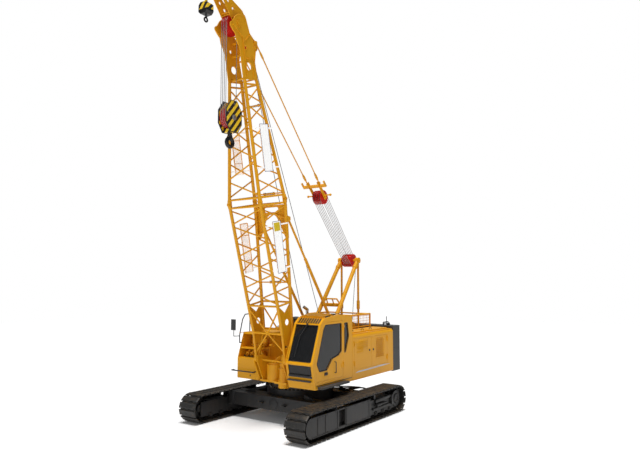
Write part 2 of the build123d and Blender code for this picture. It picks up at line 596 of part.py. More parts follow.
def deck_frame():
    """Floor, main plates with the boom's foot lugs and pins, rear bulkhead, winch cheeks."""
    floor = DECK_BOTTOM + DECK_FLOOR
    root = floor - PLATE_LAP
    nose = DECK_FRONT - DECK_NOSE
    radius = FOOT_BOSS_RADIUS + 12.0
    outline = ((nose, root), (BOOM_PIN_Y - radius * 0.8, BOOM_PIN_Z - radius * 0.6),
               (BOOM_PIN_Y - radius * 0.6, BOOM_PIN_Z + radius * 0.8),
               (BOOM_PIN_Y + radius, BOOM_PIN_Z + radius),
               (BOOM_PIN_Y + 900.0, PLATE_TOP), (DECK_REAR, PLATE_TOP), (DECK_REAR, root))
    inner = FRAME_PLATE_X - FOOT_BOSS_WIDTH / 2 - SIDE_PLAY - LUG_THICKNESS
    outer = FRAME_PLATE_X + FOOT_BOSS_WIDTH / 2 + SIDE_PLAY
    half = outer + LUG_THICKNESS
    frame = block(-half, half, nose, DECK_REAR, DECK_BOTTOM, floor)
    frame = frame + block(-half, half, DECK_REAR - BULKHEAD, DECK_REAR, root, GANTRY_FOOT_Z)
    gap, thickness, deep, rise = DRUM_CHEEK
    cheek = DRUM_HALF_LENGTH + gap
    _, _, foot_pin = GANTRY_FOOT_EYE
    for _, side in SIDES:
        for x in (inner, outer):
            frame = frame + side_plate(outline, *spot(0.0, side, x, x + LUG_THICKNESS))
        frame = frame + across(*spot(0.0, side, inner, half + PLATE_LAP), BOOM_PIN_Y, BOOM_PIN_Z,
                               FOOT_PIN_RADIUS)
        for _, y, z in DRUMS:
            frame = frame + block(*spot(0.0, side, cheek, cheek + thickness), y - deep, y + deep,
                                  root, z + rise)
        first, second, lug, lug_deep, lug_rise = GANTRY_LUGS
        y, z = GANTRY_FOOT_Y, GANTRY_FOOT_Z
        x = side * GANTRY_FOOT_X
        for off in (first, second):
            frame = frame + block(x + off, x + off + lug, y - lug_deep, y + lug_deep, root, z + lug_rise)
        frame = frame + across(x - 105.0, x + 105.0, y, z, foot_pin)
        # shelf that the backstops' feet rest over
        frame = frame + block(*spot(0.0, side, GANTRY_FOOT_X + second, BACKSTOP_X + 70.0),
                              y - 80.0, y + lug_deep, z + 40.0, z + lug_rise)
    for _, y, z in DRUMS:
        frame = frame + across(-cheek - PLATE_LAP, cheek + PLATE_LAP, y, z, AXLE_RADIUS)
    x, y, radius = HOUSING_AT
    frame = frame + rod((x, y, root), (x, y, HOUSING_TOP), radius)
    frame = frame + rod((x, y, HOUSING_TOP - 30.0), (x, y, HOUSING_TOP + 45.0), radius * 0.8)
    y, z, radius = FRONT_BAR
    frame = frame + across(RIGHT_INNER_X + WELD_GAP, CAB_INNER_X - WELD_GAP, y, z, radius)
    (x, y), (wide, ahead), (depth, radius) = GEARBOX_AT, GEARBOX_SHELF, PINION_HOUSING
    frame = frame + block(x - wide, x + wide, y - ahead, DECK_FRONT, DECK_BOTTOM, floor)
    frame = frame + rod((x, y, DECK_BOTTOM - depth), (x, y, DECK_BOTTOM + 5.0), radius)
    return frame.solid()


def swing_gearbox():
    """The upright swing drive at the deck's front."""
    x, y = GEARBOX_AT
    floor = DECK_BOTTOM + DECK_FLOOR + PIN_PLAY
    return joined(*[rod((x, y, floor + low), (x, y, floor + high), radius)
                    for low, high, radius in GEARBOX_STEPS])


def cab_face():
    """The cab's side outline with a rounded roof."""
    face = Polygon(*CAB_SIDE, align=None)
    corners = [v for v in face.vertices() if v.Y > 2900.0]
    return fillet(corners, 90.0)


def wall_slab(start, end, x0, x1, depth, sink=0.0):
    """A slab along the cab's outline from start to end (y, z), centred so deep under its skin."""
    (y0, z0), (y1, z1) = start, end
    along = Vector(0, y1 - y0, z1 - z0)
    outward = Vector(1, 0, 0).cross(along).normalized()
    if outward.Y > 0 and abs(outward.Y) > abs(outward.Z) or outward.Z < 0 and abs(outward.Z) > abs(outward.Y):
        outward = outward * -1
    centre = Vector((x0 + x1) / 2, (y0 + y1) / 2, (z0 + z1) / 2) - outward * sink
    plane = Plane(origin=centre, x_dir=(1, 0, 0), z_dir=outward)
    return (plane * Box(x1 - x0, along.length, depth)).solid()


def between(start, end, low, high):
    """Two points on the line from start to end, at the shares low and high of its length."""
    return [(start[0] + (end[0] - start[0]) * share, start[1] + (end[1] - start[1]) * share)
            for share in (low, high)]


def front_slab(row, margin, depth, sink=0.0):
    """A slab over one of the front windows, smaller than its hole by the margin."""
    corner, low, high = row
    (start, end) = between(CAB_SIDE[corner], CAB_SIDE[corner + 1], low, high)
    length = math.dist(start, end)
    start, end = between(start, end, margin / length, 1 - margin / length)
    return wall_slab(start, end, CAB_INNER_X + 75.0 + margin, CAB_OUTER_X - 75.0 - margin, depth, sink)


def cab_shell():
    """The hollow cab with its windows and its door opening cut."""
    face = cab_face()
    shell = slab_x(face, CAB_INNER_X, CAB_OUTER_X)
    hollow = offset(face, amount=-CAB_WALL)
    shell = shell - slab_x(hollow, CAB_INNER_X + CAB_WALL, CAB_OUTER_X - CAB_WALL)
    for outline in (DOOR_OUTLINE, REAR_WINDOW):
        shell = shell - side_plate(outline, CAB_OUTER_X - CAB_WALL - 1.0, CAB_OUTER_X + 1.0)
    shell = shell - side_plate(RIGHT_WINDOW, CAB_INNER_X - 1.0, CAB_INNER_X + CAB_WALL + 1.0)
    for row in FRONT_WINDOWS:
        shell = shell - front_slab(row, 0.0, 6 * CAB_WALL)
    for z in CAB_HINGES:
        shell = shell + knuckle(DOOR_HINGE_Y, 1.0, z + BARREL_LENGTH)
    return shell.solid()


def inset(outline, margin):
    """The outline moved inward, as a face."""
    return offset(Polygon(*outline, align=None), amount=-margin, kind=Kind.INTERSECTION)


def pane(outline, x):
    """Glass in a side window, centred on x."""
    return slab_x(inset(outline, GLASS_FIT), x - GLASS / 2, x + GLASS / 2)


def cab_glass():
    """Every pane that stays with the cab."""
    panes = [pane(REAR_WINDOW, CAB_OUTER_X - CAB_WALL / 2), pane(RIGHT_WINDOW, CAB_INNER_X + CAB_WALL / 2)]
    return panes + [front_slab(row, GLASS_FIT, GLASS, CAB_WALL / 2) for row in FRONT_WINDOWS]


def knuckle(y, inward, z):
    """The fixed half of a hinge, above a door's barrel; its plate lies on the wall beside the opening."""
    low, high = z + PIN_PLAY, z + KNUCKLE_HEIGHT
    barrel = rod((DOOR_HINGE_X, y, low), (DOOR_HINGE_X, y, high), HINGE_RADIUS)
    wall = block(CAB_OUTER_X - 1.0, CAB_OUTER_X + HINGE_PLATE, *spot(y, inward, KNUCKLE_CLEAR, KNUCKLE_REACH),
                 low, high)
    strap = block(CAB_OUTER_X + HINGE_LIFT, CAB_OUTER_X + HINGE_PLATE, *spot(y, inward, 0.0, KNUCKLE_REACH),
                  low, high)
    return barrel + wall + strap


def cab_door():
    """The door with its window hole and hinge barrels."""
    leaf = slab_x(inset(DOOR_OUTLINE, DOOR_GAP), CAB_OUTER_X - CAB_WALL, CAB_OUTER_X)
    leaf = leaf - side_plate(DOOR_WINDOW, CAB_OUTER_X - CAB_WALL - 1.0, CAB_OUTER_X + 1.0)
    x, y = DOOR_HINGE_X, DOOR_HINGE_Y
    for low in CAB_HINGES:
        high = low + BARREL_LENGTH
        barrel = rod((x, y, low), (x, y, high), HINGE_RADIUS)
        pad = block(CAB_OUTER_X - 1.0, CAB_OUTER_X + 3.0, *spot(y, -1.0, 20.0, STRAP_REACH), low, high)
        arm = block(CAB_OUTER_X + 2.0, CAB_OUTER_X + HINGE_PLATE, *spot(y, -1.0, 0.0, STRAP_REACH), low, high)
        leaf = leaf + barrel + pad + arm
    return leaf.solid()


def cab_interior():
    """Seat and side consoles."""
    floor = DECK_BOTTOM + CAB_WALL + PIN_PLAY
    x = (CAB_INNER_X + CAB_OUTER_X) / 2
    seat = joined(*[block(x - half, x + half, y0, y1, floor + z0, floor + z1)
                    for half, y0, y1, z0, z1 in SEAT_PIECES])
    consoles = []
    (start, end), (wide, tall), (lever_y, lever_tall, lever_radius) = CONSOLE_Y, CONSOLE, LEVER
    for off in CONSOLES_X:
        box = block(x + off, x + off + wide, start, end, floor, floor + tall)
        lever = rod((x + off + wide / 2, lever_y, floor + tall - 10.0),
                    (x + off + wide / 2, lever_y - PLATE_LAP, floor + tall + lever_tall), lever_radius)
        consoles.append(joined(box, lever))
    return [seat] + consoles


def roof_guard():
    """Slats along the cab's roof window, on two cross bars that stand on the roof."""
    (y0, z0), (y1, z1) = CAB_SIDE[3], CAB_SIDE[4]
    slope = (z1 - z0) / (y1 - y0)

    def strip(start, end, low, high, x0, x1):
        """A bar that follows the roof from start to end, between two heights over it."""
        near, far = z0 + slope * (start - y0), z0 + slope * (end - y0)
        corners = ((start, near + low), (end, far + low), (end, far + high), (start, near + high))
        return side_plate(corners, x0, x1)

    start, end = y0 + SLAT_SPAN[0], y0 + SLAT_SPAN[1]
    pieces = []
    for y in (start + SLAT_WIDTH, end - 2 * SLAT_WIDTH):
        pieces.append(strip(y, y + SLAT_WIDTH, PIN_PLAY, SLAT_HEIGHT + 2.0,
                            CAB_INNER_X + SLAT_WIDTH, CAB_OUTER_X - SLAT_WIDTH))
    low, high = CAB_INNER_X + SLAT_INSET, CAB_OUTER_X - SLAT_INSET - SLAT_WIDTH
    for index in range(SLAT_COUNT):
        x = low + index * (high - low) / (SLAT_COUNT - 1)
        pieces.append(strip(start, end, SLAT_HEIGHT, 2 * SLAT_HEIGHT, x, x + SLAT_WIDTH))
    return joined(*pieces)


def hatch(x0, x1, y0, y1):
    """A raised, rounded lid on a house's roof."""
    lid = block(x0, x1, y0, y1, HOUSE_TOP - 5.0, HOUSE_TOP + HATCH_RISE)
    lid = fillet(lid.edges().filter_by(Axis.Z), HATCH_CORNER)
    return fillet(lid.edges().group_by(Axis.Z)[-1], HATCH_EDGE)


def house_left():
    """The engine house behind the cab, hollow, with two door openings in its outer side."""
    shell = block(CAB_INNER_X, CAB_OUTER_X, LEFT_HOUSE_FRONT, DECK_REAR - 0.5, DECK_BOTTOM, HOUSE_TOP)
    edge = [e for e in shell.edges().filter_by(Axis.Y)
            if e.center().Z > HOUSE_TOP - 1 and e.center().X > CAB_OUTER_X - 1]
    shell = fillet(edge, SHOULDER_RADIUS)
    shell = shell - block(CAB_INNER_X + HOUSE_WALL, CAB_OUTER_X - HOUSE_WALL, LEFT_HOUSE_FRONT + HOUSE_WALL,
                          DECK_REAR - HOUSE_WALL, DECK_BOTTOM + HOUSE_WALL,
                          HOUSE_TOP - SHOULDER_RADIUS + PLATE_LAP)
    for front, rear in ENGINE_DOORS:
        shell = shell - block(CAB_OUTER_X - HOUSE_WALL - 1.0, CAB_OUTER_X + 1.0, front - DOOR_GAP,
                              rear + DOOR_GAP, ENGINE_DOOR_BOTTOM - DOOR_GAP, ENGINE_DOOR_TOP + DOOR_GAP)
    for y, inward in ((ENGINE_DOORS[0][0], -1.0), (ENGINE_DOORS[1][1], 1.0)):
        for z in ENGINE_HINGES:
            shell = shell + knuckle(y, inward, z + BARREL_LENGTH)
    for y0, y1 in HATCHES_Y:
        shell = shell + hatch(*HATCH_X, y0, y1)
    return shell.solid()


def engine_door(front, rear, hinge_at_front):
    """A side door of the engine house: leaf, louvres or grille, hinge barrels."""
    leaf = block(CAB_OUTER_X - HOUSE_WALL, CAB_OUTER_X, front, rear, ENGINE_DOOR_BOTTOM, ENGINE_DOOR_TOP)
    y0, y1, z0, z1, count = LOUVRES if hinge_at_front else GRILLE
    pitch = (z1 - z0) / count
    if hinge_at_front:
        for index in range(count):
            z = z0 + index * pitch
            ridge = Polygon((CAB_OUTER_X - 2.0, z), (CAB_OUTER_X + 14.0, z),
                            (CAB_OUTER_X - 2.0, z + pitch * 0.6), align=None)
            leaf = leaf + extrude(Plane.XZ.offset(-y0) * ridge, y1 - y0, dir=(0, 1, 0))
    else:
        leaf = leaf - block(CAB_OUTER_X - GRILLE_DEPTH, CAB_OUTER_X + 1.0, y0, y1, z0, z1)
        for index in range(1, count):
            z = z0 + index * pitch
            leaf = leaf + block(CAB_OUTER_X - GRILLE_DEPTH - 1.0, CAB_OUTER_X - 3.0, y0 - 1.0, y1 + 1.0,
                                z - GRILLE_BAR / 2, z + GRILLE_BAR / 2)
    y, inward = (front, 1.0) if hinge_at_front else (rear, -1.0)
    for z in ENGINE_HINGES:
        leaf = leaf + rod((DOOR_HINGE_X, y, z), (DOOR_HINGE_X, y, z + BARREL_LENGTH), HINGE_RADIUS)
        leaf = leaf + block(CAB_OUTER_X - 1.0, CAB_OUTER_X + 12.0, *spot(y, inward, 0.0, KNUCKLE_HEIGHT),
                            z, z + BARREL_LENGTH)
    return leaf.solid()


def house_right():
    """The right-hand house with its stepped, open front bays and roof hatches."""
    rear = DECK_REAR - 0.5
    outline = ((DECK_FRONT, DECK_BOTTOM), (DECK_FRONT, BAY_SILL), (BAY_EAVES, HOUSE_TOP), (rear, HOUSE_TOP),
               (rear, DECK_BOTTOM))
    body = side_plate(outline, RIGHT_OUTER_X, RIGHT_INNER_X)
    for low, high, deep in BAYS:
        body = body - block(RIGHT_OUTER_X + HOUSE_WALL, RIGHT_INNER_X + 1.0, DECK_FRONT - 1.0, deep, low, high)
    for y0, y1 in HATCHES_Y:
        body = body + hatch(-HATCH_X[1], -HATCH_X[0], y0, y1)
    return body.solid()


def counterweight():
    """The cast block across the rear, with a lifting lug on each side and a parting groove."""
    weight = block(RIGHT_OUTER_X, CAB_OUTER_X, DECK_REAR + PIN_PLAY, COUNTERWEIGHT_REAR,
                   COUNTERWEIGHT_BOTTOM, COUNTERWEIGHT_TOP)
    rear = [e for e in weight.edges().filter_by(Axis.Z) if e.center().Y > COUNTERWEIGHT_REAR - 1]
    weight = fillet(rear, COUNTERWEIGHT_CORNER)
    middle = (COUNTERWEIGHT_BOTTOM + COUNTERWEIGHT_TOP) / 2
    groove = block(RIGHT_OUTER_X - 1.0, CAB_OUTER_X + 1.0, DECK_REAR + 40.0, COUNTERWEIGHT_REAR + 1.0,
                   middle - GROOVE_HALF, middle + GROOVE_HALF)
    core = block(RIGHT_OUTER_X + 2 * GROOVE_HALF, CAB_OUTER_X - 2 * GROOVE_HALF, DECK_REAR,
                 COUNTERWEIGHT_REAR - 2 * GROOVE_HALF, middle - 2 * GROOVE_HALF, middle + 2 * GROOVE_HALF)
    weight = weight - (groove - core)
    inset_x, behind, thickness, bore, (length, height) = WEIGHT_LUG
    y, z = DECK_REAR + behind, COUNTERWEIGHT_TOP
    for x in (RIGHT_OUTER_X + inset_x, CAB_OUTER_X - inset_x):
        face = Pos(y, z + PLATE_LAP) * RectangleRounded(length, height, height * 0.4)
        weight = weight + slab_x(face, x, x + thickness)
        weight = weight - across(x - thickness, x + 2 * thickness, y, z + 2 * bore, bore)
    return weight.solid()


def drum(y, z):
    """A winch drum with its rope coil and flanges."""
    half, coil = DRUM_HALF_LENGTH, DRUM_RADIUS
    bore, inside = AXLE_RADIUS + PIN_PLAY, DRUM_HALF_LENGTH - DRUM_RIM
    outline = ((-half, bore), (-half, DRUM_FLANGE), (-inside, DRUM_FLANGE), (-inside, coil), (inside, coil),
               (inside, DRUM_FLANGE), (half, DRUM_FLANGE), (half, bore))
    return turned(outline, y, z)


def on_leg(side, share):
    """A point on a front leg of the A-frame, at a share of the way from its foot to the head."""
    return (side * (GANTRY_FOOT_X + share * (GANTRY_HALF_WIDTH - GANTRY_FOOT_X)),
            GANTRY_FOOT_Y + share * (GANTRY_HEAD_Y - GANTRY_FOOT_Y),
            GANTRY_FOOT_Z + share * (GANTRY_HEAD_Z - GANTRY_FOOT_Z))


def gantry():
    """The A-frame: front legs, cross tube, small frame, head axle, rear stays with sleeves."""
    head = GANTRY_HALF_WIDTH + 110.0
    frame = across(-head, head, GANTRY_HEAD_Y, GANTRY_HEAD_Z, AXLE_RADIUS)
    frame_y, frame_z, frame_x = GANTRY_FRAME
    low, high, sleeve = STAY_SLEEVE
    cross, small, strut = GANTRY_TUBES
    eye_half, eye, foot_pin = GANTRY_FOOT_EYE
    collar, rise = COLLAR
    _, cross_y, cross_z = on_leg(1.0, GANTRY_CROSS_SHARE)
    foot = (GANTRY_FOOT_Y, GANTRY_FOOT_Z)
    for _, side in SIDES:
        x, foot_x = side * GANTRY_HALF_WIDTH, side * GANTRY_FOOT_X
        frame = frame + rod(on_leg(side, 0.02), on_leg(side, 1.0), GANTRY_LEG_RADIUS)
        frame = frame + across(foot_x - eye_half, foot_x + eye_half, *foot, eye)
        frame = frame + across(*spot(x, side, -60.0, 75.0), GANTRY_HEAD_Y, GANTRY_HEAD_Z, 105.0)
        frame = frame + rod(on_leg(side, COLLAR_SHARE - collar), on_leg(side, COLLAR_SHARE + collar),
                            GANTRY_LEG_RADIUS + rise)
        frame = frame + rod((x, STAY_Y, GANTRY_FOOT_Z + PIN_PLAY), (x, STAY_Y, GANTRY_HEAD_Z), STAY_RADIUS)
        frame = frame + rod((x, STAY_Y, low), (x, STAY_Y, high), sleeve)
        top = (side * frame_x, frame_y, frame_z)
        frame = frame + rod(top, on_leg(side, GANTRY_CROSS_SHARE), small) + Pos(*top) * Sphere(small)
        middle = side * frame_x * 0.4
        frame = frame + rod((middle, frame_y, frame_z), (middle, cross_y, cross_z), strut)
    frame = frame + across(-frame_x, frame_x, frame_y, frame_z, small)
    frame = frame + across(-GANTRY_HALF_WIDTH - 30.0, GANTRY_HALF_WIDTH + 30.0, cross_y, cross_z, cross)
    for _, side in SIDES:
        foot_x = side * GANTRY_FOOT_X
        frame = frame - across(foot_x - 100.0, foot_x + 100.0, *foot, foot_pin + PIN_PLAY)
    return frame.solid()


def exhaust():
    """The bent exhaust stack."""
    x, y, tall, radius, (side, front, rise) = EXHAUST
    z = HOUSE_TOP + PIN_PLAY
    return bent_tube(((x, y, z), (x, y, z + tall), (x + side, y + front, z + tall + rise)), radius)


def winch_guard():
    """The tube guard over the luffing winch."""
    x, y0, y1 = GUARD_X, *GUARD_Y
    foot = HOUSE_TOP + PIN_PLAY
    guard = across(-x, x, y0 + GUARD_RADIUS, GUARD_TOP, GUARD_RADIUS * 0.8)
    guard = guard + across(-x, x, y1 - GUARD_RADIUS, GUARD_TOP, GUARD_RADIUS * 0.8)
    for _, side in SIDES:
        frame = bent_tube(((side * x, y0, foot), (side * x, y0, GUARD_TOP), (side * x, y1, GUARD_TOP),
                           (side * x, y1, foot)), GUARD_RADIUS)
        middle = rod((side * x, y0, GUARD_MIDDLE), (side * x, y1, GUARD_MIDDLE), GUARD_RADIUS * 0.6)
        guard = guard + frame + middle
    return guard.solid()


def mirror():
    """The hoop rail at the right front, and the mirror on its arm, which meets the hoop with a ball."""
    x = RIGHT_OUTER_X + HOOP_INSET
    start = HOOP_RAIL[0][0]
    hoop = bent_tube([(x, start, HOUSE_TOP + PIN_PLAY)] + [(x, y, z) for y, z in HOOP_RAIL], HOOP_RADIUS)
    out, front, foot, (wide, low, high) = MIRROR_AT
    corner_y, corner_z = HOOP_RAIL[HOOP_CORNER]
    end = (x, corner_y - HOOP_RADIUS - MIRROR_BALL - PIN_PLAY, corner_z - MIRROR_BALL)
    side = RIGHT_OUTER_X - out
    arm = bent_tube(((side, front, foot), (side, front, end[2]), end), MIRROR_ARM)
    arm = arm + Pos(*end) * Sphere(MIRROR_BALL)
    return [hoop, joined(arm, block(side - wide, side + wide, front - 40.0, front - 5.0, low, high))]


def steps():
    """Step bars in front of the right house and the cab, and the step beside the cab."""
    z, (outer, inner), ahead, radius = FRONT_STEP
    right = bent_tube(((outer, DECK_FRONT - radius - PIN_PLAY, z), (outer, DECK_FRONT - ahead, z),
                       (inner, DECK_FRONT - ahead, z), (inner, DECK_FRONT - PIN_PLAY, z)), radius)
    low, high, deep = CAB_STEP
    (y0, z0), (y1, z1) = CAB_SIDE[0], CAB_SIDE[1]
    front = y0 + (y1 - y0) * (high - z0) / (z1 - z0)
    cab = block(CAB_INNER_X + 40.0, CAB_OUTER_X - 110.0, front - deep, front - 0.6, low, high)
    wide, y0, y1, z0, z1 = SIDE_STEP
    side = block(CAB_OUTER_X + PIN_PLAY, CAB_OUTER_X + wide, y0, y1, z0, z1)
    return [right, cab, side]


def rear_rail():
    """The black rail and mast on the counterweight."""
    x, y0, y1, top, radius = REAR_RAIL
    mast_y, mast_top, mast_radius = MAST
    foot = COUNTERWEIGHT_TOP + PIN_PLAY
    rail = bent_tube(((x, y0, foot), (x, y0, top), (x, y1, top), (x, y1, foot)), radius)
    return joined(rail, rod((x, mast_y, foot), (x, mast_y, mast_top), mast_radius))


# ---- boom ----

def spread(along):
    """Half width and half depth of the lattice, measured to the chords' middles."""
    if along <= JOINT_AT:
        share = (along - CHORD_ROOT) / (JOINT_AT - CHORD_ROOT)
        return (BASE_HALF_WIDTH + (JOINT_HALF_WIDTH - BASE_HALF_WIDTH) * share,
                BASE_HALF_DEPTH + (JOINT_HALF_DEPTH - BASE_HALF_DEPTH) * share)
    share = (along - JOINT_AT) / (TOP_END - JOINT_AT)
    return (JOINT_HALF_WIDTH + (TOP_HALF_WIDTH - JOINT_HALF_WIDTH) * share,
            JOINT_HALF_DEPTH + (TOP_HALF_DEPTH - JOINT_HALF_DEPTH) * share)


def chord_point(index, along):
    """A point on chord 0..3: front right, front left, rear left, rear right."""
    width, depth = spread(along)
    side = -1.0 if index in (0, 3) else 1.0
    rear = -1.0 if index in (0, 1) else 1.0
    return on_boom(side * width, along, BOOM_OFFSET + rear * depth)


def lacing(start, end, chord_direction):
    """A lacing tube between two chords, ending just off both of them."""
    direction = (end - start).normalized()
    cosine = abs(direction.dot(chord_direction))
    sine = math.sqrt(1 - cosine * cosine)
    cut = (CHORD_RADIUS + WELD_GAP + LACING_RADIUS * cosine) / sine
    return rod(start + direction * cut, end - direction * cut, LACING_RADIUS)


def chord(index, low, high):
    """One chord tube, its ends square to the boom."""
    start, end = chord_point(index, low), chord_point(index, high)
    reach = (end - start).normalized() * CHORD_RADIUS
    plane = Plane(origin=on_boom(0, (low + high) / 2, BOOM_OFFSET), x_dir=(1, 0, 0), z_dir=UP)
    span = plane * Box(4 * JOINT_HALF_WIDTH, 4 * JOINT_HALF_DEPTH, high - low)
    return (rod(start - reach, end + reach, CHORD_RADIUS) & span).solid()


def section(low, high, panels, insets, end_faces=range(4)):
    """Chords, end frames and zigzag lacing; end_faces are the faces with a tube at the high end."""
    pieces = [chord(index, low, high) for index in range(4)]
    start, end = low + insets[0], high - insets[1]
    for along, faces in ((start, range(4)), (end, end_faces)):
        for face in faces:
            first, second = chord_point(face, along), chord_point((face + 1) % 4, along)
            reach = (second - first).normalized() * (CHORD_RADIUS + WELD_GAP)
            pieces.append(rod(first + reach, second - reach, END_TUBE_RADIUS))
    start, end = start + END_TUBE_RADIUS, end - END_TUBE_RADIUS
    step = (end - start) / panels
    for face in range(4):
        first, second = face, (face + 1) % 4
        direction = (chord_point(first, high) - chord_point(first, low)).normalized()
        for panel in range(panels):
            near, far = start + panel * step + LACING_SETBACK, start + (panel + 1) * step - LACING_SETBACK
            if panel % 2:
                pieces.append(lacing(chord_point(first, near), chord_point(second, far), direction))
            else:
                pieces.append(lacing(chord_point(second, near), chord_point(first, far), direction))
    return pieces


def boom_foot():
    """Side plates from the foot bosses up to the lattice, their edge tubes, cross tubes and braces."""
    top = BASE_START - WELD_GAP
    _, root_depth = spread(CHORD_ROOT)
    _, top_depth = spread(top)
    front, rear = BOOM_OFFSET - root_depth, BOOM_OFFSET + root_depth
    high_front, high_rear = BOOM_OFFSET - top_depth, BOOM_OFFSET + top_depth
    outline = ((0.0, -FOOT_BOSS_RADIUS), (CHORD_ROOT, front - PLATE_LAP), (top, high_front),
               (top, high_front + FOOT_EDGE), FOOT_NOTCH, (top, high_rear - FOOT_EDGE), (top, high_rear),
               (CHORD_ROOT, rear + PLATE_LAP), (0.0, FOOT_BOSS_RADIUS))
    half = FOOT_BOSS_WIDTH / 2
    cross, upper, lower = FOOT_BRACES
    sides = []
    for _, side in SIDES:
        x = side * FRAME_PLATE_X
        plate = boom_plate(outline, x - FOOT_PLATE / 2, x + FOOT_PLATE / 2)
        for index in ((0, 3) if side < 0 else (1, 2)):
            behind = -60.0 if index in (0, 1) else 60.0
            plate = plate + rod(on_boom(x, 60.0, behind), chord_point(index, CHORD_ROOT), CHORD_RADIUS * 0.8)
            plate = plate + chord(index, CHORD_ROOT - 30.0, top)
        plate = plate + boom_bar(x - half, x + half, (0.0, 0.0), FOOT_BOSS_RADIUS)
        plate = plate - boom_bar(x - 2 * half, x + 2 * half, (0.0, 0.0), FOOT_PIN_RADIUS + PIN_PLAY)
        for along, behind, radius in FOOT_HOLES:
            plate = plate - boom_bar(x - half, x + half, (along, behind), radius)
        sides.append(plate)
    tubes = [rod(on_boom(0, CHORD_ROOT, front), on_boom(side * (FRAME_PLATE_X - 10.0), 240.0, 0.0), lower)
             for _, side in SIDES]
    for behind, corners in ((front, (0, 1)), (rear, (2, 3))):
        tubes.append(boom_bar(-FRAME_PLATE_X, FRAME_PLATE_X, (CHORD_ROOT, behind), cross))
        for index in corners:
            tubes.append(rod(on_boom(0, CHORD_ROOT, behind), chord_point(index, top - 60.0), upper))
    return joined(*sides, *tubes)


def rear_depth(along):
    """How far the rear chords lie behind the foot pins, at a place up the boom."""
    return BOOM_OFFSET + spread(along)[1]


def boom_portal():
    """The plate frame on the rear face below the section joint, with the backstops' lugs."""
    width = JOINT_HALF_WIDTH + 10.0
    seat = CHORD_RADIUS + WELD_GAP
    foot = on_boom(0, PORTAL_FOOT, rear_depth(PORTAL_FOOT) + seat)
    head = on_boom(0, PORTAL_TOP, rear_depth(PORTAL_TOP) + seat)
    along = (head - foot).normalized()
    plane = Plane(origin=foot, x_dir=(-1, 0, 0), z_dir=Vector(-1, 0, 0).cross(along))
    height = (head - foot).length
    sheet = Pos(0, height / 2) * Rectangle(2 * width, height)
    inside = height - PORTAL_BEAM
    toe, leg = width - PORTAL_TOE, width - PORTAL_LEG
    spring = inside - PORTAL_ARCH
    legs = Polyline((leg, spring), (toe, -5.0), (-toe, -5.0), (-leg, spring))
    sheet = sheet - make_face([legs, ThreePointArc((-leg, spring), (0, inside), (leg, spring))])
    sheet = sheet - Pos(0, height - PORTAL_BEAM / 2) * RectangleRounded(*PORTAL_SLOT)
    frame = extrude(plane * sheet, PORTAL_PLATE)
    middle = seat + PORTAL_PLATE / 2
    up, back = BACKSTOP_TOP
    low, high, tip = BACKSTOP_LUG
    lug = ((up + low, rear_depth(up + low) + middle), (up + high, rear_depth(up + high) + middle),
           (up + tip, back + tip), (up - tip, back + tip))
    for _, side in SIDES:
        for off in BACKSTOP_LUGS_X:
            x = side * BACKSTOP_X + off
            frame = frame + boom_plate(lug, x, x + PLATE_LAP)
    return frame.solid()


def boom_head():
    """The plated head box with its axles, pins and cross tubes."""
    start = TOP_END + WELD_GAP
    front, rear = BOOM_OFFSET - TOP_HALF_DEPTH, BOOM_OFFSET + TOP_HALF_DEPTH
    outline = ((start, front - CHORD_RADIUS),) + HEAD_OUTLINE + ((start, rear + CHORD_RADIUS),)
    outer = TOP_HALF_WIDTH + HEAD_PLATE / 2
    inner = outer - 5.0
    pin, pin_radius = PENDANT_PIN
    boss, boss_radius = AXLE_BOSS
    pieces = []
    for _, side in SIDES:
        x0, x1 = spot(0.0, side, outer - HEAD_PLATE, outer)
        plate = boom_plate(outline, x0, x1)
        for along, behind, radius in HEAD_HOLES:
            plate = plate - boom_bar(x0 - 5.0, x1 + 5.0, (along, behind), radius)
        pieces.append(plate)
        pieces.append(boom_bar(*spot(0.0, side, inner, outer + pin), PENDANT_PIN_AT, pin_radius))
        pieces.append(boom_bar(*spot(0.0, side, inner, outer + boss), HEAD_SHEAVE_AT, boss_radius))
    along, behind, radius = JIB_PIN_AT
    pieces.append(boom_bar(-outer - PLATE_LAP, outer + PLATE_LAP, (along, behind), radius))
    for along, behind, radius in HEAD_TUBES:
        pieces.append(boom_bar(-inner, inner, (along, behind), radius))
    for place in (HEAD_SHEAVE_AT, GUIDE_SHEAVE_AT):
        pieces.append(boom_bar(-outer - 30.0, outer + 30.0, place, AXLE_RADIUS))
    knob, knob_radius = AXLE_KNOB
    pieces.append(boom_bar(-AXLE_END, -outer, HEAD_SHEAVE_AT, AXLE_RADIUS * 0.75))
    pieces.append(boom_bar(-AXLE_END, knob - AXLE_END, HEAD_SHEAVE_AT, knob_radius))
    return joined(*pieces)


def tip_extension():
    """The narrow forward-leaning jib plates with the aux sheave's axle."""
    pieces = []
    for _, side in SIDES:
        x0, x1 = spot(0.0, side, TIP_HALF_WIDTH - TIP_PLATE, TIP_HALF_WIDTH)
        plate = boom_plate(TIP_OUTLINE, x0, x1)
        for along, behind, radius in TIP_HOLES:
            plate = plate - boom_bar(x0 - 5.0, x1 + 5.0, (along, behind), radius)
        pieces.append(plate)
    inner = TIP_HALF_WIDTH - 5.0
    for place in TIP_TUBES:
        pieces.append(boom_bar(-inner, inner, place, TIP_TUBE_RADIUS))
    pieces.append(boom_bar(-TIP_HALF_WIDTH - 25.0, TIP_HALF_WIDTH + 25.0, TIP_SHEAVE_AT, AXLE_RADIUS))
    along, behind, radius = JIB_PIN_AT
    bore = boom_bar(-TIP_HALF_WIDTH - 5.0, TIP_HALF_WIDTH + 5.0, (along, behind), radius + PIN_PLAY)
    return (joined(*pieces) - bore).solid()


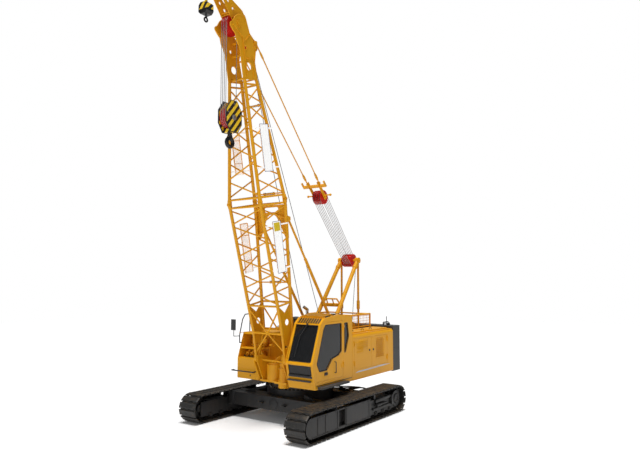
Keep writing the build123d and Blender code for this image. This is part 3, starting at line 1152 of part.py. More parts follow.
def pendants():
    """The two pendant bars from the head to the bridle."""
    bars = []
    half, eye = PENDANT_EYE
    _, pin_radius = PENDANT_PIN
    for _, side in SIDES:
        top_x = side * (TOP_HALF_WIDTH + HEAD_PLATE / 2 + 2 * half)
        low_x = side * BRIDLE_HALF_WIDTH
        top, low = on_boom(top_x, *PENDANT_PIN_AT), on_boom(low_x, *BRIDLE_AT)
        direction = (low - top).normalized()
        bar = rod(top + direction * 30.0, low - direction * 50.0, PENDANT_RADIUS)
        bar = bar + spindle(*[low - direction * along for along in LOW_SOCKET], SOCKET_RADIUS)
        bar = bar + spindle(*[top + direction * along for along in HIGH_SOCKET], SOCKET_RADIUS * 0.8)
        for x, place in ((top_x, PENDANT_PIN_AT), (low_x, BRIDLE_AT)):
            bar = bar + boom_bar(x - half, x + half, place, eye)
            bar = bar - boom_bar(x - 40.0, x + 40.0, place, pin_radius + PIN_PLAY)
        bars.append(bar.solid())
    return bars


def bridle():
    """The spreader between pendants and luffing ropes, with its sheave axle and side stubs."""
    (a0, b0), (a1, b1) = BRIDLE_AT, BRIDLE_SHEAVE_AT
    length = math.dist(BRIDLE_AT, BRIDLE_SHEAVE_AT)
    da, db = (a1 - a0) / length, (b1 - b0) / length

    def plate(low, high, half, x0, x1):
        """A flat plate along the line from the pendants' pins to the axle."""
        corners = ((low, -half), (high, -half), (high, half), (low, half))
        return boom_plate([(a0 + da * u - db * v, b0 + db * u + da * v) for u, v in corners], x0, x1)

    _, pin_radius = PENDANT_PIN
    stub_at = (a1 + da * BRIDLE_STUB_AT, b1 + db * BRIDLE_STUB_AT)
    frame = plate(SPREADER_FROM, SPREADER_FROM + 100.0, 30.0, -SPREADER_HALF, SPREADER_HALF)
    for _, side in SIDES:
        frame = frame + plate(-70.0, length + BRIDLE_TAIL, 60.0,
                              *spot(0.0, side, BRIDLE_HALF_WIDTH - 45.0, BRIDLE_HALF_WIDTH - 20.0))
        frame = frame + plate(SPREADER_FROM - HORN_HEIGHT, SPREADER_FROM + 10.0, 30.0,
                              *spot(0.0, side, SPREADER_HALF - 40.0, SPREADER_HALF))
        frame = frame + boom_bar(*spot(0.0, side, BRIDLE_HALF_WIDTH - 30.0, BRIDLE_HALF_WIDTH + 40.0),
                                 BRIDLE_AT, pin_radius)
        frame = frame + boom_bar(*spot(0.0, side, BRIDLE_HALF_WIDTH - 40.0, BRIDLE_STUB_END), stub_at, 24.0)
        frame = frame + Pos(*on_boom(side * BRIDLE_STUB_END, *stub_at)) * Sphere(44.0)
    frame = frame + boom_bar(-BRIDLE_HALF_WIDTH, BRIDLE_HALF_WIDTH, BRIDLE_SHEAVE_AT, AXLE_RADIUS)
    return frame.solid()


def backstops():
    """Two telescopic backstop tubes, fixed on the portal."""
    tubes = []
    (start, end), (half, eye) = BACKSTOP_SLEEVE, BACKSTOP_EYE
    for _, side in SIDES:
        x = side * BACKSTOP_X
        top, foot = on_boom(x, *BACKSTOP_TOP), on_boom(x, *BACKSTOP_FOOT)
        direction = (foot - top).normalized()
        tube = rod(top, foot, BACKSTOP_RADIUS * 0.72)
        tube = tube + rod(top + direction * start, foot - direction * end, BACKSTOP_RADIUS)
        tube = tube + Pos(*foot) * Sphere(BACKSTOP_RADIUS) + boom_bar(x - half, x + half, BACKSTOP_TOP, eye)
        tubes.append(tube.solid())
    return tubes


def boom_signs():
    """Blank plates on both sides of the boom, each on two hanger bars across the chords."""
    signs = []
    for low, high, front, rear in SIGNS:
        for index, side in ((1, 1.0), (0, -1.0)):
            x = max(abs(chord_point(index, along).X) for along in (low, high)) + CHORD_RADIUS + SIGN_PLATE
            sign = boom_plate(((low, front), (high, front), (high, rear), (low, rear)),
                              *spot(0.0, side, x, x + SIGN_PLATE))
            for along in (low + SIGN_HANGER, high - SIGN_HANGER):
                start, end = along - PLATE_LAP, along + PLATE_LAP
                edge = max(spread(start)[0], spread(end)[0]) + CHORD_RADIUS + WELD_GAP
                front_edge, rear_edge = BOOM_OFFSET - spread(along)[1], BOOM_OFFSET + spread(along)[1]
                corners = ((start, front_edge), (end, front_edge), (end, rear_edge), (start, rear_edge))
                sign = sign + boom_plate(corners, *spot(0.0, side, edge, x + 1.0))
            signs.append(sign.solid())
    return signs


# ---- hook blocks ----

def hook(y, z, throat, thickness, shank_top):
    """A crane hook below its shank; (y, z) is the throat's middle."""
    radius = throat + thickness
    turns = [math.radians(angle) for angle in range(-240, 61, 30)]
    bend = [(0, y + radius * math.cos(turn), z + radius * math.sin(turn)) for turn in turns]
    neck = (0, y, z + radius + thickness * 2)
    shank = rod((0, y, z + radius), (0, y, shank_top), thickness * SHANK_SHARE)
    return joined(shank, bent_tube(bend + [neck], thickness), Pos(*bend[0]) * Sphere(thickness))


HEAD_YZ = boom_yz(HEAD_SHEAVE_AT)
TIP_YZ = boom_yz(TIP_SHEAVE_AT)
FALL_OFFSET = HEAD_SHEAVE_RADIUS - GROOVE_DEPTH + ROPE_RADIUS + 0.5
AUX_OFFSET = TIP_SHEAVE_RADIUS - GROOVE_DEPTH + ROPE_RADIUS + 0.5
AUX_Y = TIP_YZ[0] - AUX_OFFSET


def main_block():
    """Cheek plates, spacers, axle and the lower crosshead."""
    y, z = HEAD_YZ[0], MAIN_BLOCK_Z
    outline = [(y + off, z + rise) for off, rise in MAIN_BLOCK_OUTLINE]
    half = HEAD_SHEAVE_PITCH * HEAD_SHEAVES / 2 + BLOCK_PLAY
    deep, bottom, top = CROSSHEAD
    body = across(-half - BLOCK_AXLE_END, half + BLOCK_AXLE_END, y, z, AXLE_RADIUS)
    for _, side in SIDES:
        body = body + side_plate(outline, *spot(0.0, side, half, half + BLOCK_CHEEK))
    body = body + block(-half - 5.0, half + 5.0, y - deep, y + deep, z - bottom, z - top)
    bore = rod((0, y, z - bottom - BLOCK_CHEEK), (0, y, z - top + BLOCK_CHEEK),
               MAIN_HOOK_BAR * SHANK_SHARE + PIN_PLAY)
    return (body - bore).solid()


def main_falls():
    """The rope parts between the head sheaves and the block."""
    ropes = []
    for pitches, side in FALLS:
        x, y = pitches * HEAD_SHEAVE_PITCH, HEAD_YZ[0] + side * FALL_OFFSET
        ropes.append(rod((x, y, MAIN_BLOCK_Z), (x, y, HEAD_YZ[1]), ROPE_RADIUS))
    return ropes


def aux_block():
    """The striped weight over the aux hook."""
    half_x, half_y, half_z = AUX_BLOCK_HALF
    y, z = AUX_Y, AUX_BLOCK_Z
    neck, neck_radius = AUX_NECK
    weight = block(-half_x, half_x, y - half_y, y + half_y, z - half_z, z + half_z)
    weight = chamfer(weight.edges().filter_by(Axis.Y), AUX_CHAMFER)
    weight = weight + rod((0, y, z + half_z - 10.0), (0, y, z + half_z + neck), neck_radius)
    bore = rod((0, y, z - half_z - 10.0), (0, y, z - 60.0), AUX_HOOK_BAR * SHANK_SHARE + PIN_PLAY)
    return (weight - bore).solid()


def write(name, solids):
    """Write a node's STEP file."""
    if not isinstance(solids, (list, tuple)):
        solids = [solids]
    pieces = [piece for solid in solids for piece in solid.solids()]
    export_step(pieces[0] if len(pieces) == 1 else Compound(children=pieces), f"parts/{name}.step")


os.makedirs("parts", exist_ok=True)
write("carbody", carbody())
write("slewing_ring", slewing_ring())
write("track_left", track_loop(1.0))
write("track_right", track_loop(-1.0))
write("idlers", [wheel(side, False) for _, side in SIDES])
write("sprockets", [wheel(side, True) for _, side in SIDES])
write("track_rollers", rollers())
write("track_frame_left", track_frame(1.0))
write("track_frame_right", track_frame(-1.0))
write("travel_drives", [travel_drive(side) for _, side in SIDES])
write("deck_frame", deck_frame())
write("swing_gearbox", swing_gearbox())
write("cab_shell", cab_shell())
write("cab_glass", cab_glass())
write("cab_door", cab_door())
write("cab_door_glass", pane(DOOR_WINDOW, CAB_OUTER_X - CAB_WALL / 2))
write("cab_interior", cab_interior())
write("house_left", house_left())
write("engine_door_front", engine_door(*ENGINE_DOORS[0], True))
write("engine_door_rear", engine_door(*ENGINE_DOORS[1], False))
write("engine_block", block(CAB_INNER_X + ENGINE_SIZE[0], CAB_OUTER_X - ENGINE_SIZE[1], *ENGINE_SIZE[2:4],
                            DECK_BOTTOM + HOUSE_WALL + PIN_PLAY, ENGINE_SIZE[4]))
write("house_right", house_right())
write("counterweight", counterweight())
for name, y, z in DRUMS:
    write(name, drum(y, z))
write("gantry", gantry())
write("gantry_sheaves", sheave_pack((GANTRY_HEAD_Y, GANTRY_HEAD_Z), GANTRY_SHEAVE_RADIUS, 6))
write("exhaust", exhaust())
write("handrails", winch_guard())
write("mirror", mirror())
write("steps", steps())
write("rear_rail", rear_rail())
write("roof_guard", roof_guard())
write("boom_foot", boom_foot())
write("boom_base_section", section(BASE_START, JOINT_AT - JOINT_GAP / 2, BASE_PANELS, BASE_INSETS))
write("boom_top_section", section(JOINT_AT + JOINT_GAP / 2, TOP_END, TOP_PANELS, TOP_INSETS,
                                  end_faces=(1, 2, 3)))
write("boom_portal", boom_portal())
write("boom_head", boom_head())
write("tip_extension", tip_extension())
write("head_sheaves", sheave_pack(HEAD_YZ, HEAD_SHEAVE_RADIUS, HEAD_SHEAVES, HEAD_SHEAVE_PITCH))
write("guide_sheaves", sheave_pack(boom_yz(GUIDE_SHEAVE_AT), GUIDE_SHEAVE_RADIUS, 2))
write("tip_sheave", sheave_pack(TIP_YZ, TIP_SHEAVE_RADIUS, 1))
write("pendants", pendants())
write("bridle", bridle())
write("bridle_sheaves", sheave_pack(boom_yz(BRIDLE_SHEAVE_AT), BRIDLE_SHEAVE_RADIUS, 5))
write("backstops", backstops())
write("boom_signs", boom_signs())
write("main_block", main_block())
write("main_block_sheaves", sheave_pack((HEAD_YZ[0], MAIN_BLOCK_Z), HEAD_SHEAVE_RADIUS, HEAD_SHEAVES,
                                       HEAD_SHEAVE_PITCH))
write("main_falls", main_falls())
write("main_hook", hook(HEAD_YZ[0], MAIN_HOOK_Z, MAIN_HOOK_THROAT, MAIN_HOOK_BAR, MAIN_BLOCK_Z - 320.0))
write("aux_block", aux_block())
write("aux_fall", rod((0, AUX_Y, AUX_BLOCK_Z + AUX_BLOCK_HALF[2] + AUX_NECK[0] + WELD_GAP),
                      (0, AUX_Y, TIP_YZ[1]), ROPE_RADIUS))
write("aux_hook", hook(AUX_Y, AUX_HOOK_Z, AUX_HOOK_THROAT, AUX_HOOK_BAR, AUX_BLOCK_Z - 80.0))
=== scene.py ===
"""Finishes, fittings and ropes for a lattice-boom crawler crane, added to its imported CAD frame."""
from __future__ import annotations

import logging
import math
from collections.abc import Iterable, Sequence
from dataclasses import dataclass
from enum import Enum

import bpy
from mathutils import Matrix, Vector

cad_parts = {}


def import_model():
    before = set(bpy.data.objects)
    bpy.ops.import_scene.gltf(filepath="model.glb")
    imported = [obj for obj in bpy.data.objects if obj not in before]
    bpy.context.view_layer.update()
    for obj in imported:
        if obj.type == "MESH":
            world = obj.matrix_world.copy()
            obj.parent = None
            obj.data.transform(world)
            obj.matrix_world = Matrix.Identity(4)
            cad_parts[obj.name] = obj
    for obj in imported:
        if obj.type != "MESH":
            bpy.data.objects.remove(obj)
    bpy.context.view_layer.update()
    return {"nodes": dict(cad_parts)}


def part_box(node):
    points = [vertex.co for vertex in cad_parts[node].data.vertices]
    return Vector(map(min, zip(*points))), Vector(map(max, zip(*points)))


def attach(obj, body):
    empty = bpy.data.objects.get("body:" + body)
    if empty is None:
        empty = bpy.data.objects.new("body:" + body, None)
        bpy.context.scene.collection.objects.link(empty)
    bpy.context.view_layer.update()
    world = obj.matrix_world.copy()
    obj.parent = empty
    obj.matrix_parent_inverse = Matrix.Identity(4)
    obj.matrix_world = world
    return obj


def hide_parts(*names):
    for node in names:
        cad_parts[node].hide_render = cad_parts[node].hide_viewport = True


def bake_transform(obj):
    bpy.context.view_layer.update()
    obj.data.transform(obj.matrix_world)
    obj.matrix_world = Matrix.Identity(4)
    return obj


LOG = logging.getLogger("crane")

Pair = tuple[float, float]
Point = tuple[float, float, float]
Four = tuple[float, float, float, float]
Colour = Four
Numbers = tuple[float, ...]
Pairs = tuple[Pair, ...]
Chain = Sequence[Sequence[float]]
Body = str | tuple[str, str, Point, Point]
Piece = bpy.types.Object
Pieces = list[Piece]
Socket = bpy.types.NodeSocket

SIDES = (("right", -1.0), ("left", 1.0))
BOTH = (-1.0, 1.0)
ACROSS: Point = (1.0, 0.0, 0.0)
REARWARD: Point = (0.0, 1.0, 0.0)
UPWARD: Point = (0.0, 0.0, 1.0)
WHITE: Colour = (1.0, 1.0, 1.0, 1.0)
COAT_ROUGHNESS = 0.12
GLASS_IOR = 1.45


# ---------------------------------------------------------------- finishes


class Finish(Enum):
    """The finishes of the crane, each by the name of its material."""

    PAINT = "body_paint"
    DARK_PAINT = "undercarriage_paint"
    SHOE = "track_shoe_steel"
    STEEL = "machined_steel_finish"
    GLASS = "tinted_glazing"
    CAB_TRIM = "cab_trim"
    ENGINE = "engine_casting"
    BALLAST = "counterweight_paint"
    CHROME = "exhaust_chrome"
    # Black rubber; also used for thin patches of painted shade in the shoe pockets and the service
    # opening.
    PLASTIC = "black_moulding"
    RUBBER_AND_SHADE = "seal_rubber_and_painted_shade"
    ROPE = "wire_rope"
    HOIST_ROPE = "greased_wire_rope"
    SHEAVE = "red_sheave_paint"
    SIGN = "sign_face"
    SIGN_EDGE = "sign_border"
    SIGN_MARK = "sign_warning_patch"
    HAZARD = "hazard_stripes"
    HOOK = "hook_black_paint"
    AMBER = "beacon_lens"
    STRIPE = "grey_trim_stripe"
    TREAD = "anti_slip_tread"
    GREASE = "greased_gear"
    MIRROR = "mirror_face"
    SEAT = "seat_cloth"


NODE_FINISHES: dict[Finish, tuple[str, ...]] = {
    Finish.PAINT: (
        "deck_frame", "swing_gearbox", "cab_shell", "cab_door", "house_left", "house_right",
        "engine_door_front", "engine_door_rear", "gantry", "handrails", "roof_guard", "boom_foot",
        "boom_base_section", "boom_top_section", "boom_portal", "boom_head", "tip_extension",
        "pendants", "bridle", "backstops", "main_drum", "aux_drum", "luffing_drum"),
    Finish.DARK_PAINT: (
        "carbody", "idlers", "sprockets", "track_rollers", "track_frame_left", "track_frame_right",
        "travel_drives"),
    Finish.SHOE: ("track_left", "track_right"),
    Finish.GREASE: ("slewing_ring",),
    Finish.GLASS: ("cab_glass", "cab_door_glass"),
    Finish.CAB_TRIM: ("cab_interior",),
    Finish.ENGINE: ("engine_block",),
    Finish.BALLAST: ("counterweight",),
    Finish.CHROME: ("exhaust",),
    Finish.PLASTIC: ("mirror", "rear_rail"),
    Finish.TREAD: ("steps",),
    Finish.ROPE: ("main_falls", "aux_fall"),
    Finish.SHEAVE: (
        "head_sheaves", "guide_sheaves", "tip_sheave", "bridle_sheaves", "gantry_sheaves",
        "main_block_sheaves"),
    Finish.SIGN: ("boom_signs",),
    Finish.HAZARD: ("main_block", "aux_block"),
    Finish.HOOK: ("main_hook", "aux_hook"),
}

SLOTS: dict[Finish, str] = {
    Finish.PAINT: "body_yellow",
    Finish.DARK_PAINT: "undercarriage_charcoal",
    Finish.SHOE: "track_steel",
    Finish.STEEL: "machined_steel",
    Finish.GREASE: "machined_steel",
    Finish.RUBBER_AND_SHADE: "black_plastic",
    Finish.PLASTIC: "black_plastic",
    Finish.TREAD: "black_plastic",
    Finish.ROPE: "rope_steel",
    Finish.HOIST_ROPE: "rope_steel",
    Finish.HOOK: "hook_black",
    Finish.SIGN_EDGE: "sign_white",
    Finish.SIGN_MARK: "hazard_paint",
    Finish.SEAT: "cab_plastic",
    Finish.CAB_TRIM: "cab_plastic",
    Finish.STRIPE: "bright_steel",
    Finish.CHROME: "bright_steel",
    Finish.MIRROR: "bright_steel",
    Finish.AMBER: "tinted_glass",
    Finish.BALLAST: "counterweight_charcoal",
}


class NodeTree:
    """A small hand for laying out shader nodes and joining them."""

    def __init__(self, tree: bpy.types.NodeTree) -> None:
        """Keep the tree.

        Args:
            tree: the node tree to add to.
        """
        self.tree = tree

    def add(self, kind: str, **settings: object) -> bpy.types.Node:
        """Add a node and set its properties.

        Args:
            kind: the node's type name.
            settings: properties to set on it.

        Returns:
            The new node.
        """
        node = self.tree.nodes.new(kind)
        for name, value in settings.items():
            setattr(node, name, value)
        return node

    def join(self, source: Socket, target: Socket) -> None:
        """Link one socket to another."""
        self.tree.links.new(source, target)

    def feed(self, socket: Socket, value: object) -> None:
        """Give an input a value, or link it where the value is a socket."""
        if isinstance(value, Socket):
            self.join(value, socket)
        else:
            socket.default_value = value

    def adjust(self, node: bpy.types.Node, values: dict[str, object]) -> None:
        """Feed a node's inputs by their names."""
        for name, value in values.items():
            self.feed(node.inputs[name], value)

    def coordinates(self) -> Socket:
        """Add the object's own coordinates."""
        return self.add("ShaderNodeTexCoord").outputs["Object"]

    def maths(
            self, operation: str, first: object, second: object = 0.0,
            third: object = None) -> Socket:
        """Add a Math node.

        Args:
            operation: what it does.
            first: a socket or a number.
            second: a socket or a number.
            third: a socket or a number, where the operation takes three.

        Returns:
            Its value socket.
        """
        node = self.add("ShaderNodeMath", operation=operation)
        for index, value in enumerate((first, second, third)):
            if value is not None:
                self.feed(node.inputs[index], value)
        return node.outputs[0]

    def mix(self, share: object, first: object, second: object) -> Socket:
        """Mix two colours.

        Args:
            share: how much of the second, a socket or a number.
            first: a socket or a colour.
            second: a socket or a colour.

        Returns:
            The mixed colour's socket.
        """
        node = self.add("ShaderNodeMix", data_type="RGBA")
        for index, value in ((0, share), (6, first), (7, second)):
            self.feed(node.inputs[index], value)
        return node.outputs[2]

    def noise(
            self, place: Socket, scale: object, detail: float = 5.0, rough: float = 0.55) -> Socket:
        """Add a noise texture.

        Args:
            place: the coordinates' socket.
            scale: a socket or a number.
            detail: octaves.
            rough: their roughness.

        Returns:
            The noise's value socket.
        """
        node = self.add("ShaderNodeTexNoise")
        self.adjust(node, {"Vector": place, "Scale": scale, "Detail": detail, "Roughness": rough})
        return node.outputs["Fac"]

    def band(
            self, value: Socket, low: float, high: float, start: float = 0.0,
            end: float = 1.0) -> Socket:
        """Map a range of values smoothly to another.

        Args:
            value: the socket to read.
            low: value that gives start.
            high: value that gives end.
            start: lowest result.
            end: highest result.

        Returns:
            The mapped value's socket.
        """
        node = self.add("ShaderNodeMapRange", interpolation_type="SMOOTHSTEP")
        self.adjust(
            node,
            {"Value": value, "From Min": low, "From Max": high, "To Min": start, "To Max": end})
        return node.outputs["Result"]


def fresh_material(name: str) -> tuple[bpy.types.Material, NodeTree, bpy.types.Node]:
    """Make a material with nodes.

    Args:
        name: the material's name.

    Returns:
        The material, its tree's hand and its Principled shader.
    """
    material = bpy.data.materials.new(name)
    material.use_nodes = True
    tree = material.node_tree
    return material, NodeTree(tree), tree.nodes["Principled BSDF"]


class GroupKit:
    """The shader node groups that several finishes share."""

    def __init__(self) -> None:
        """Start with no groups."""
        self.groups: dict[str, bpy.types.NodeTree] = {}

    def open(
            self, name: str, inputs: Sequence[tuple[str, str, object]],
            outputs: Sequence[tuple[str, str]]) -> tuple[NodeTree, bpy.types.Node, bpy.types.Node]:
        """Start a group with named sockets.

        Args:
            name: the group's name.
            inputs: name, socket type and default of each input.
            outputs: name and socket type of each output.

        Returns:
            The tree's hand, its input node and its output node.
        """
        tree = bpy.data.node_groups.new(name, "ShaderNodeTree")
        for label, kind, default in inputs:
            socket = tree.interface.new_socket(label, in_out="INPUT", socket_type=kind)
            socket.default_value = default
        for label, kind in outputs:
            tree.interface.new_socket(label, in_out="OUTPUT", socket_type=kind)
        hand = NodeTree(tree)
        self.groups[name] = tree
        return hand, hand.add("NodeGroupInput"), hand.add("NodeGroupOutput")

    def weathering(self) -> None:
        """Build the group of faded, chipped and dusty paint."""
        hand, entry, out = self.open(
            "weathering",
            (("Paint", "NodeSocketColor", (0.8, 0.8, 0.8, 1.0)),
             ("Faded", "NodeSocketColor", (0.8, 0.8, 0.8, 1.0)),
             ("Chip", "NodeSocketColor", (0.1, 0.1, 0.1, 1.0)),
             ("Dust", "NodeSocketColor", (0.4, 0.35, 0.3, 1.0)), ("Wear", "NodeSocketFloat", 0.2),
             ("Soil", "NodeSocketFloat", 0.2), ("Soil Top", "NodeSocketFloat", 1.0),
             ("Gloss", "NodeSocketFloat", 0.35)),
            (("Color", "NodeSocketColor"), ("Roughness", "NodeSocketFloat"),
             ("Height", "NodeSocketFloat")))
        place = hand.coordinates()
        cloud = hand.noise(place, 0.9, 4.0)
        fine = hand.noise(place, 38.0, 6.0, 0.7)
        streak_map = hand.add("ShaderNodeMapping")
        hand.adjust(streak_map, {"Scale": (9.0, 9.0, 0.7), "Vector": place})
        streak = hand.noise(streak_map.outputs["Vector"], 1.0, 5.0, 0.6)
        fade = hand.maths("MULTIPLY", hand.band(cloud, 0.35, 0.7), hand.band(streak, 0.4, 0.7))
        painted = hand.mix(fade, entry.outputs["Paint"], entry.outputs["Faded"])
        chips = hand.maths("MULTIPLY", hand.band(fine, 0.63, 0.68), hand.band(cloud, 0.5, 0.62))
        chips = hand.maths("MULTIPLY", chips, entry.outputs["Wear"])
        chipped = hand.mix(chips, painted, entry.outputs["Chip"])
        apart = hand.add("ShaderNodeSeparateXYZ")
        hand.join(place, apart.inputs[0])
        low = hand.add("ShaderNodeMapRange", interpolation_type="SMOOTHSTEP")
        hand.adjust(
            low,
            {"Value": apart.outputs["Z"], "From Min": entry.outputs["Soil Top"], "From Max": 0.0})
        soil = hand.maths("MULTIPLY", low.outputs["Result"], hand.band(streak, 0.3, 0.65))
        soil = hand.maths("MULTIPLY", soil, entry.outputs["Soil"], None)
        speck = hand.maths(
            "MULTIPLY", hand.band(fine, 0.5, 0.75),
            hand.maths("MULTIPLY", entry.outputs["Soil"], 0.3))
        soil = hand.maths("MINIMUM", hand.maths("ADD", soil, speck), 1.0)
        hand.join(hand.mix(soil, chipped, entry.outputs["Dust"]), out.inputs["Color"])
        dull = hand.maths("MULTIPLY_ADD", soil, 0.45, entry.outputs["Gloss"])
        dull = hand.maths("MULTIPLY_ADD", fade, 0.12, dull)
        hand.join(hand.maths("MINIMUM", dull, 0.95), out.inputs["Roughness"])
        peel = hand.maths("MULTIPLY", hand.noise(place, 140.0, 2.0), 0.2)
        height = hand.maths("SUBTRACT", peel, hand.maths("MULTIPLY", chips, 0.6))
        hand.join(hand.maths("MULTIPLY_ADD", soil, 0.4, height), out.inputs["Height"])

    def bands(self) -> None:
        """Build the group of slanting warning bands, which rise along Y and across X."""
        hand, entry, out = self.open(
            "warning_bands", (("Pitch", "NodeSocketFloat", 0.2), ("Shift", "NodeSocketFloat", 0.0)),
            (("Mask", "NodeSocketFloat"),))
        place = hand.coordinates()
        apart = hand.add("ShaderNodeSeparateXYZ")
        hand.join(place, apart.inputs[0])
        slant = hand.maths("MULTIPLY_ADD", apart.outputs["Y"], -1.25, apart.outputs["Z"])
        slant = hand.maths("MULTIPLY_ADD", apart.outputs["X"], -1.25, slant)
        slant = hand.maths(
            "ADD", hand.maths("DIVIDE", slant, entry.outputs["Pitch"]), entry.outputs["Shift"])
        waves = hand.maths("ABSOLUTE", hand.maths("SUBTRACT", hand.maths("FRACT", slant), 0.5))
        hand.join(hand.band(waves, 0.24, 0.26), out.inputs["Mask"])

    def lay(self) -> None:
        """Build the group of a rope's twisted strands, which follow the rope's own map; its Shade
        output marks the grooves between strands for painted shade.
        """
        hand, entry, out = self.open(
            "rope_lay", (("Strands", "NodeSocketFloat", 6.0), ("Turns", "NodeSocketFloat", 9.0)),
            (("Height", "NodeSocketFloat"), ("Shade", "NodeSocketFloat")))
        place = hand.add("ShaderNodeUVMap").outputs["UV"]
        apart = hand.add("ShaderNodeSeparateXYZ")
        hand.join(place, apart.inputs[0])
        twist = hand.maths("MULTIPLY", apart.outputs["X"], entry.outputs["Strands"])
        phase = hand.maths("MULTIPLY_ADD", apart.outputs["Y"], entry.outputs["Turns"], twist)
        wave = hand.maths("ABSOLUTE", hand.maths("SINE", hand.maths("MULTIPLY", phase, math.pi)))
        hand.join(wave, out.inputs["Height"])
        hand.join(hand.band(wave, 0.0, 0.6), out.inputs["Shade"])

    def tread(self) -> None:
        """Build the group of raised diamonds on a walkway."""
        hand, entry, out = self.open(
            "diamond_tread", (("Scale", "NodeSocketFloat", 24.0),),
            (("Height", "NodeSocketFloat"),))
        place = hand.coordinates()
        apart = hand.add("ShaderNodeSeparateXYZ")
        hand.join(place, apart.inputs[0])
        rows = []
        for first, second in (("X", "Y"), ("Y", "X")):
            along = hand.maths("MULTIPLY", apart.outputs[first], entry.outputs["Scale"])
            across = hand.maths("MULTIPLY", apart.outputs[second], entry.outputs["Scale"])
            skew = hand.maths("ADD" if first == "X" else "SUBTRACT", along, across)
            rows.append(hand.maths(
                "ABSOLUTE", hand.maths("SINE", hand.maths("MULTIPLY", skew, math.pi))))
        hand.join(
            hand.band(hand.maths("MULTIPLY", rows[0], rows[1]), 0.55, 0.8), out.inputs["Height"])

    def build(self) -> None:
        """Build every group once."""
        self.weathering()
        self.bands()
        self.lay()
        self.tread()


@dataclass(frozen=True)
class PaintedMetal:
    """A weathered coat: its colours, how worn and dusty it is, how it shines, and any glow of
    painted light.
    """

    name: Finish
    paint: Colour
    faded: Colour
    # chip: colour of chipped paint; ropes also use it as painted shade in the grooves between
    # strands
    chip_and_groove_shade: Colour = (0.1, 0.085, 0.075, 1.0)
    dust: Colour = (0.33, 0.26, 0.18, 1.0)
    wear: float = 0.35
    soil: float = 0.25
    soil_top: float = 1.6
    gloss: float = 0.32
    metallic: float = 0.0
    coat: float = 0.0
    bump: float = 0.1
    step: float = 0.002
    specular: float = 0.5
    # glow: emission strength, painted light on a coat that is no lamp; the sign faces use it
    glow: float = 0.0

    def material(self, kit: GroupKit) -> bpy.types.Material:
        """Make the material.

        Args:
            kit: the shared node groups.

        Returns:
            The finished material.
        """
        material, hand, shader = fresh_material(self.name.value)
        hand.adjust(
            shader,
            {"Metallic": self.metallic, "Coat Weight": self.coat, "Coat Roughness": COAT_ROUGHNESS,
             "Specular IOR Level": self.specular, "Emission Strength": self.glow})
        wear = hand.add("ShaderNodeGroup", node_tree=kit.groups["weathering"])
        hand.adjust(
            wear,
            {"Paint": self.paint, "Faded": self.faded, "Chip": self.chip_and_groove_shade, "Dust": self.dust,
             "Wear": self.wear, "Soil": self.soil, "Soil Top": self.soil_top, "Gloss": self.gloss})
        bump = hand.add("ShaderNodeBump")
        hand.adjust(bump, {"Strength": self.bump, "Distance": self.step})
        self.dress(hand, kit, wear, bump, shader)
        hand.join(wear.outputs["Roughness"], shader.inputs["Roughness"])
        hand.join(bump.outputs["Normal"], shader.inputs["Normal"])
        return material

    def dress(
            self, hand: NodeTree, kit: GroupKit, wear: bpy.types.Node, bump: bpy.types.Node,
            shader: bpy.types.Node) -> None:
        """Join colour and height; a finish with a pattern of its own does this its own way."""
        hand.join(wear.outputs["Color"], shader.inputs["Base Color"])
        hand.join(wear.outputs["Height"], bump.inputs["Height"])


@dataclass(frozen=True)
class BandedPaint(PaintedMetal):
    """Paint with slanting bands of a second colour."""

    band: Colour = (0.85, 0.45, 0.02, 1.0)
    pitch: float = 0.24
    shift: float = 0.0

    def dress(
            self, hand: NodeTree, kit: GroupKit, wear: bpy.types.Node, bump: bpy.types.Node,
            shader: bpy.types.Node) -> None:
        """Lay the bands over the weathered coat."""
        bands = hand.add("ShaderNodeGroup", node_tree=kit.groups["warning_bands"])
        hand.adjust(bands, {"Pitch": self.pitch, "Shift": self.shift})
        hand.join(
            hand.mix(bands.outputs["Mask"], wear.outputs["Color"], self.band),
            shader.inputs["Base Color"])
        hand.join(wear.outputs["Height"], bump.inputs["Height"])


@dataclass(frozen=True)
class SoiledMetal(PaintedMetal):
    """Steel with dry earth lying on its upward faces."""

    earth: Colour = (0.088, 0.062, 0.034, 1.0)
    share: float = 0.7

    def dress(
            self, hand: NodeTree, kit: GroupKit, wear: bpy.types.Node, bump: bpy.types.Node,
            shader: bpy.types.Node) -> None:
        """Lay the earth over the weathered coat."""
        apart = hand.add("ShaderNodeSeparateXYZ")
        hand.join(hand.add("ShaderNodeNewGeometry").outputs["Normal"], apart.inputs[0])
        place = hand.coordinates()
        patches = hand.band(hand.noise(place, 6.0, 6.0, 0.65), 0.4, 0.62)
        lying = hand.maths("MULTIPLY", hand.band(apart.outputs["Z"], 0.45, 0.95), patches)
        lying = hand.maths("MULTIPLY", lying, self.share)
        hand.join(hand.mix(lying, wear.outputs["Color"], self.earth), shader.inputs["Base Color"])
        hand.join(
            hand.maths("MULTIPLY_ADD", lying, 0.6, wear.outputs["Height"]), bump.inputs["Height"])


@dataclass(frozen=True)
class TreadMetal(PaintedMetal):
    """Paint over raised diamonds."""

    scale: float = 22.0

    def dress(
            self, hand: NodeTree, kit: GroupKit, wear: bpy.types.Node, bump: bpy.types.Node,
            shader: bpy.types.Node) -> None:
        """Raise the diamonds through the coat."""
        tread = hand.add("ShaderNodeGroup", node_tree=kit.groups["diamond_tread"])
        tread.inputs["Scale"].default_value = self.scale
        hand.join(wear.outputs["Color"], shader.inputs["Base Color"])
        hand.join(
            hand.maths("ADD", tread.outputs["Height"], wear.outputs["Height"]),
            bump.inputs["Height"])


